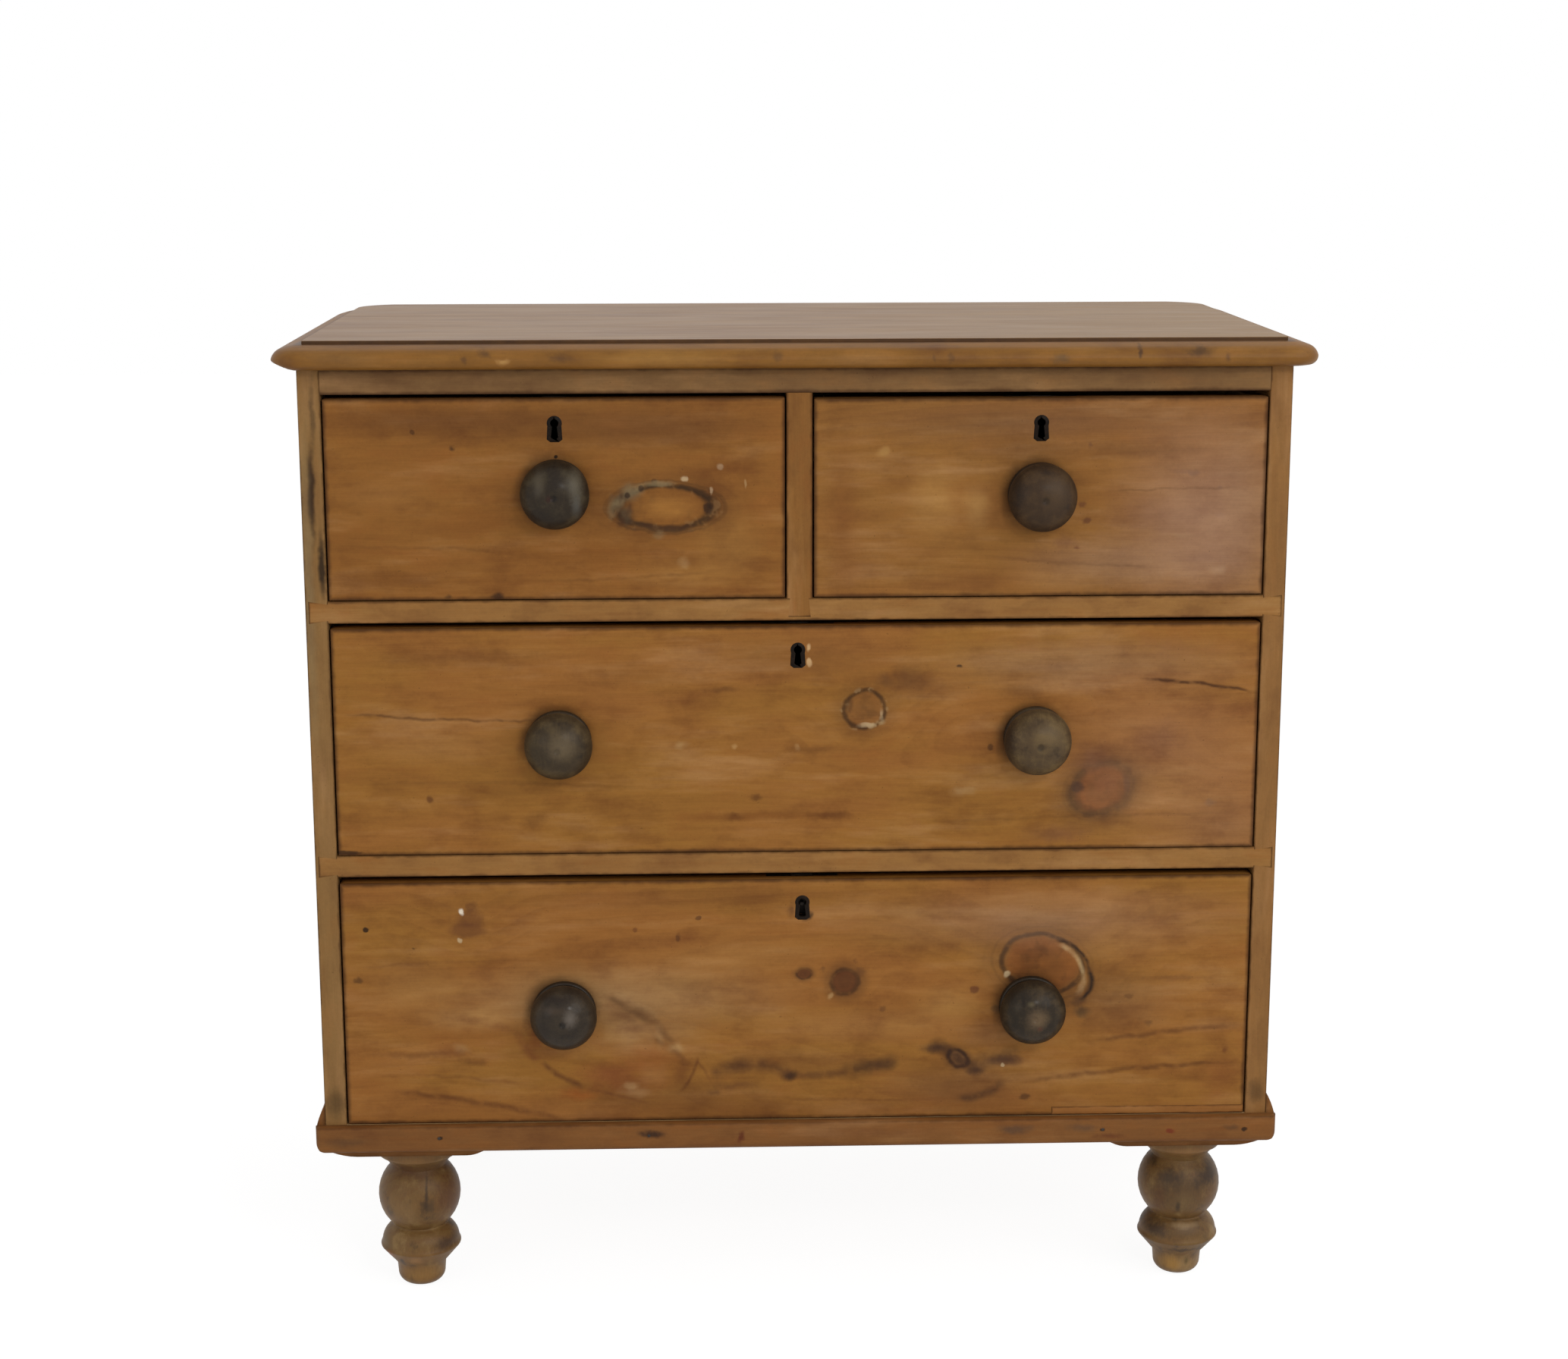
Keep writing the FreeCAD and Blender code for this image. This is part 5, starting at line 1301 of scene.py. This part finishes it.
class CHEST_OT_keyholes(bpy.types.Operator):
    """Line the keyholes with thin metal"""

    bl_idname = "chest.keyholes"
    bl_label = "Keyhole linings"

    def execute(self, context):
        finish = metal("keyhole_metal", colours().lining, 0.0, 80.0, 0.08, 0.1)
        for drawer in DRAWERS:
            low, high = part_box(drawer + "_lock")
            x = (low.x + high.x) / 2
            eye = high.z - EYE_DEPTH * MM
            self.line(drawer, x, eye, finish)
        return {"FINISHED"}

    def line(self, drawer, x, eye, finish):
        """A keyhole-shaped rim with a wall that runs back into the wood."""
        wall, lip, stand = sizes().lining_wall, sizes().lining_lip, sizes().lining_stand
        front = FACE * MM
        bm = bmesh.new()
        rings = []
        for grow, depth in ((-wall, 9.0 * MM), (-wall, -stand), (lip - wall, -stand), (lip, 0.1 * MM)):
            loop = [bm.verts.new((x + u, front + depth, eye + v)) for u, v in keyhole_outline(grow)]
            rings.append([bm.edges.new(pair) for pair in zip(loop, loop[1:] + loop[:1])])
        for inner, outer in zip(rings, rings[1:]):
            bmesh.ops.bridge_loops(bm, edges=inner + outer)
        bmesh.ops.recalc_face_normals(bm, faces=bm.faces)
        made = piece(drawer + "_keyhole_lining", bm, drawer, "iron", finish)
        made.data.set_sharp_from_angle(angle=math.radians(50))


def keyhole_outline(grow):
    """Points round a keyhole about its eye, in metres: a round eye over a slot that widens downwards."""
    radius = EYE_RADIUS * MM + grow
    neck = SLOT_NECK * MM + grow * 1.35
    foot = SLOT_FOOT * MM + grow * 1.2
    drop = SLOT_DROP * MM + grow
    start = math.asin(neck / radius)
    turn = math.tau - 2 * start
    arc = [start + turn * k / EYE_STEPS for k in range(EYE_STEPS + 1)]
    points = [(-radius * math.sin(a), -radius * math.cos(a)) for a in arc]
    heel = -drop + foot * 0.35
    return points + [(foot, heel), (foot * 0.55, -drop), (-foot * 0.55, -drop), (-foot, heel)]


# A lock's screws, in millimetres: how far they stand off its middle and above its lower edge.
SCREW_SIDE = 29.0
SCREW_RISES = (7.0, 34.0)


class CHEST_OT_locks(bpy.types.Operator):
    """Give the locks their iron, and screw them to the drawer fronts"""

    bl_idname = "chest.locks"
    bl_label = "Locks"

    def execute(self, context):
        iron = metal("lock_iron", colours().iron, 0.85, 84.0)
        bright = metal("bolt_iron", srgb(120, 112, 100), 0.9, 88.0)
        for drawer in DRAWERS:
            dress(drawer + "_lock", iron)
            dress(drawer + "_bolt", bright)
            low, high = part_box(drawer + "_lock")
            bm = bmesh.new()
            for side in (-1, 1):
                for rise in SCREW_RISES:
                    x = (low.x + high.x) / 2 + side * SCREW_SIDE * MM
                    self.screw(bm, Vector((x, high.y, low.z + rise * MM)))
            made = piece(drawer + "_lock_screws", bm, drawer, "iron", iron)
            made.data.set_sharp_from_angle(angle=math.radians(40))
        return {"FINISHED"}

    def screw(self, bm, centre):
        """A domed screw head with a slot."""
        turn = Matrix.Translation(centre) @ Matrix.Rotation(math.radians(-90), 4, "X")
        made = bmesh.ops.create_cone(
            bm, cap_ends=True, segments=20, radius1=2.6 * MM, radius2=1.9 * MM, depth=0.7 * MM, matrix=turn
        )
        bmesh.ops.translate(bm, verts=made["verts"], vec=(0, 0.35 * MM, 0))


class CHEST_OT_nails(bpy.types.Operator):
    """Nail the back boards and the base moulding"""

    bl_idname = "chest.nails"
    bl_label = "Nails"

    def execute(self, context):
        iron = metal("nail_iron", srgb(40, 33, 28), 0.5, 92.0)
        back_low, back_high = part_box("back_boards")
        bm = bmesh.new()
        step = (back_high.x - back_low.x) / BACK_BOARDS
        for board in range(BACK_BOARDS):
            for inset in (0.22, 0.78):   # two nails across a board, as shares of its width
                for z in (back_low.z + 10 * MM, back_high.z - 11 * MM):
                    x = back_low.x + step * (board + inset)
                    self.head(bm, Vector((x, back_high.y, z)), 1)
        piece("back_nails", bm, "carcass", "iron", iron)
        bm = bmesh.new()
        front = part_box("base_moulding_front")[0].y
        for x in BASE_NAILS:
            self.head(bm, Vector((x * MM, front, BASE_NAIL_LEVEL * MM)), -1)
        piece("base_nails", bm, "carcass", "iron", iron)
        return {"FINISHED"}

    def head(self, bm, centre, way):
        """A round head on the back, or with the way turned on the front."""
        turn = Matrix.Translation(centre) @ Matrix.Rotation(math.radians(-90 * way), 4, "X")
        radius = sizes().nail
        bmesh.ops.create_cone(
            bm, cap_ends=True, segments=14, radius1=radius, radius2=radius * 0.7, depth=0.4 * MM, matrix=turn
        )


CAMERA_PLACE = (-0.0890, FACE * MM - 2.3667, 1.1018)
CAMERA_TURN = (-0.03228, -0.20912, 0.00155)   # its yaw, pitch and roll


class CHEST_OT_stage(bpy.types.Operator):
    """Set the floor, the light and the camera"""

    bl_idname = "chest.stage"
    bl_label = "Stage"

    def execute(self, context):
        settings = context.scene.chest_stage
        context.scene.view_settings.view_transform = "Standard"
        self.floor(settings)
        self.world(context, settings)
        self.lamp("key", (2.3, -2.3, 2.3), (0, 0, 0.5), 2.4, settings.key)
        self.lamp("window", (0.75, -2.6, 1.9), (0, 0, 0.5), 0.5, settings.window)
        self.lamp("fill", (-2.6, -2.4, 1.3), (0, 0, 0.45), 1.8, settings.fill)
        camera = bpy.data.objects.new("camera", bpy.data.cameras.new("camera"))
        context.scene.collection.objects.link(camera)
        camera.data.lens = settings.lens / MM
        camera.data.sensor_width = 36.0
        camera.data.sensor_fit = "HORIZONTAL"
        yaw, pitch, roll = CAMERA_TURN
        turn = Matrix.Rotation(yaw, 3, "Z") @ Matrix.Rotation(pitch, 3, "X") @ Matrix.Rotation(roll, 3, "Y")
        right, forward, up = turn.col
        axes = Matrix((right, up, -forward)).transposed()
        camera.matrix_world = Matrix.Translation(CAMERA_PLACE) @ axes.to_4x4()
        context.scene.camera = camera
        return {"FINISHED"}

    def lamp(self, name, place, aim, size, power):
        light = bpy.data.lights.new(name, "AREA")
        light.shape = "DISK"
        light.size = size
        light.energy = power
        made = bpy.data.objects.new(name, light)
        bpy.context.scene.collection.objects.link(made)
        made.location = place
        made.rotation_euler = (Vector(aim) - Vector(place)).to_track_quat("-Z", "Y").to_euler()

    def floor(self, settings):
        """A pale floor that takes the shadow and otherwise shows as white."""
        bm = bmesh.new()
        bmesh.ops.create_grid(bm, x_segments=1, y_segments=1, size=9.0)
        mesh = bpy.data.meshes.new("floor")
        bm.to_mesh(mesh)
        bm.free()
        made = bpy.data.objects.new("floor", mesh)
        bpy.context.scene.collection.objects.link(made)
        finish = Finish("floor", base_color=(*colours().floor, 1.0), roughness=0.9, specular_ior_level=0.0)
        plain = finish.node("ShaderNodeEmission", {}, {"Color": (1, 1, 1), "Strength": 1.12})
        lit = Signal(finish, finish.shader.outputs[0])
        both = finish.node("ShaderNodeMixShader", {}, {0: finish.seen() * settings.white, 1: lit, 2: plain})
        finish.link(both, finish.tree.nodes["Material Output"].inputs["Surface"])
        mesh.materials.append(finish.material)

    def world(self, context, settings):
        """Even light from all round, which shows as white."""
        world = bpy.data.worlds.new("room")
        world.use_nodes = True
        context.scene.world = world
        nodes = Nodes(world.node_tree)
        room = nodes.tree.nodes["Background"]
        room.inputs["Color"].default_value = (1, 1, 1, 1)
        room.inputs["Strength"].default_value = settings.room
        white = nodes.node("ShaderNodeBackground", {}, {"Color": (1, 1, 1)})
        sockets = {0: nodes.seen(), 1: Signal(nodes, room.outputs[0]), 2: white}
        both = nodes.node("ShaderNodeMixShader", {}, sockets)
        nodes.link(both, nodes.tree.nodes["World Output"].inputs["Surface"])


class CHEST_PT_panel(bpy.types.Panel):
    """The chest's pieces and their settings"""

    bl_label = "Bachelors chest"
    bl_idname = "CHEST_PT_panel"
    bl_space_type = "VIEW_3D"
    bl_region_type = "UI"
    bl_category = "Chest"

    def draw(self, context):
        for operator in OPERATORS:
            self.layout.operator(operator.bl_idname)
        for group in (context.scene.chest_sizes, context.scene.chest_colours, context.scene.chest_stage):
            box = self.layout.box()
            for name in group.bl_rna.properties.keys():
                if name not in ("rna_type", "name"):
                    box.prop(group, name)


OPERATORS = (
    CHEST_OT_stage,
    CHEST_OT_carcass,
    CHEST_OT_top,
    CHEST_OT_base,
    CHEST_OT_feet,
    CHEST_OT_drawers,
    CHEST_OT_knobs,
    CHEST_OT_keyholes,
    CHEST_OT_locks,
    CHEST_OT_nails,
)
CLASSES = (ChestColours, ChestSizes, ChestStage, *OPERATORS, CHEST_PT_panel)


def register():
    for made in CLASSES:
        bpy.utils.register_class(made)
    bpy.types.Scene.chest_colours = PointerProperty(type=ChestColours)
    bpy.types.Scene.chest_sizes = PointerProperty(type=ChestSizes)
    bpy.types.Scene.chest_stage = PointerProperty(type=ChestStage)


def unregister():
    del bpy.types.Scene.chest_stage
    del bpy.types.Scene.chest_sizes
    del bpy.types.Scene.chest_colours
    for made in reversed(CLASSES):
        bpy.utils.unregister_class(made)


def main():
    register()
    for operator in OPERATORS:
        group, name = operator.bl_idname.split(".")
        getattr(getattr(bpy.ops, group), name)()
    bpy.context.view_layer.update()


if __name__ == "__main__":
    main()
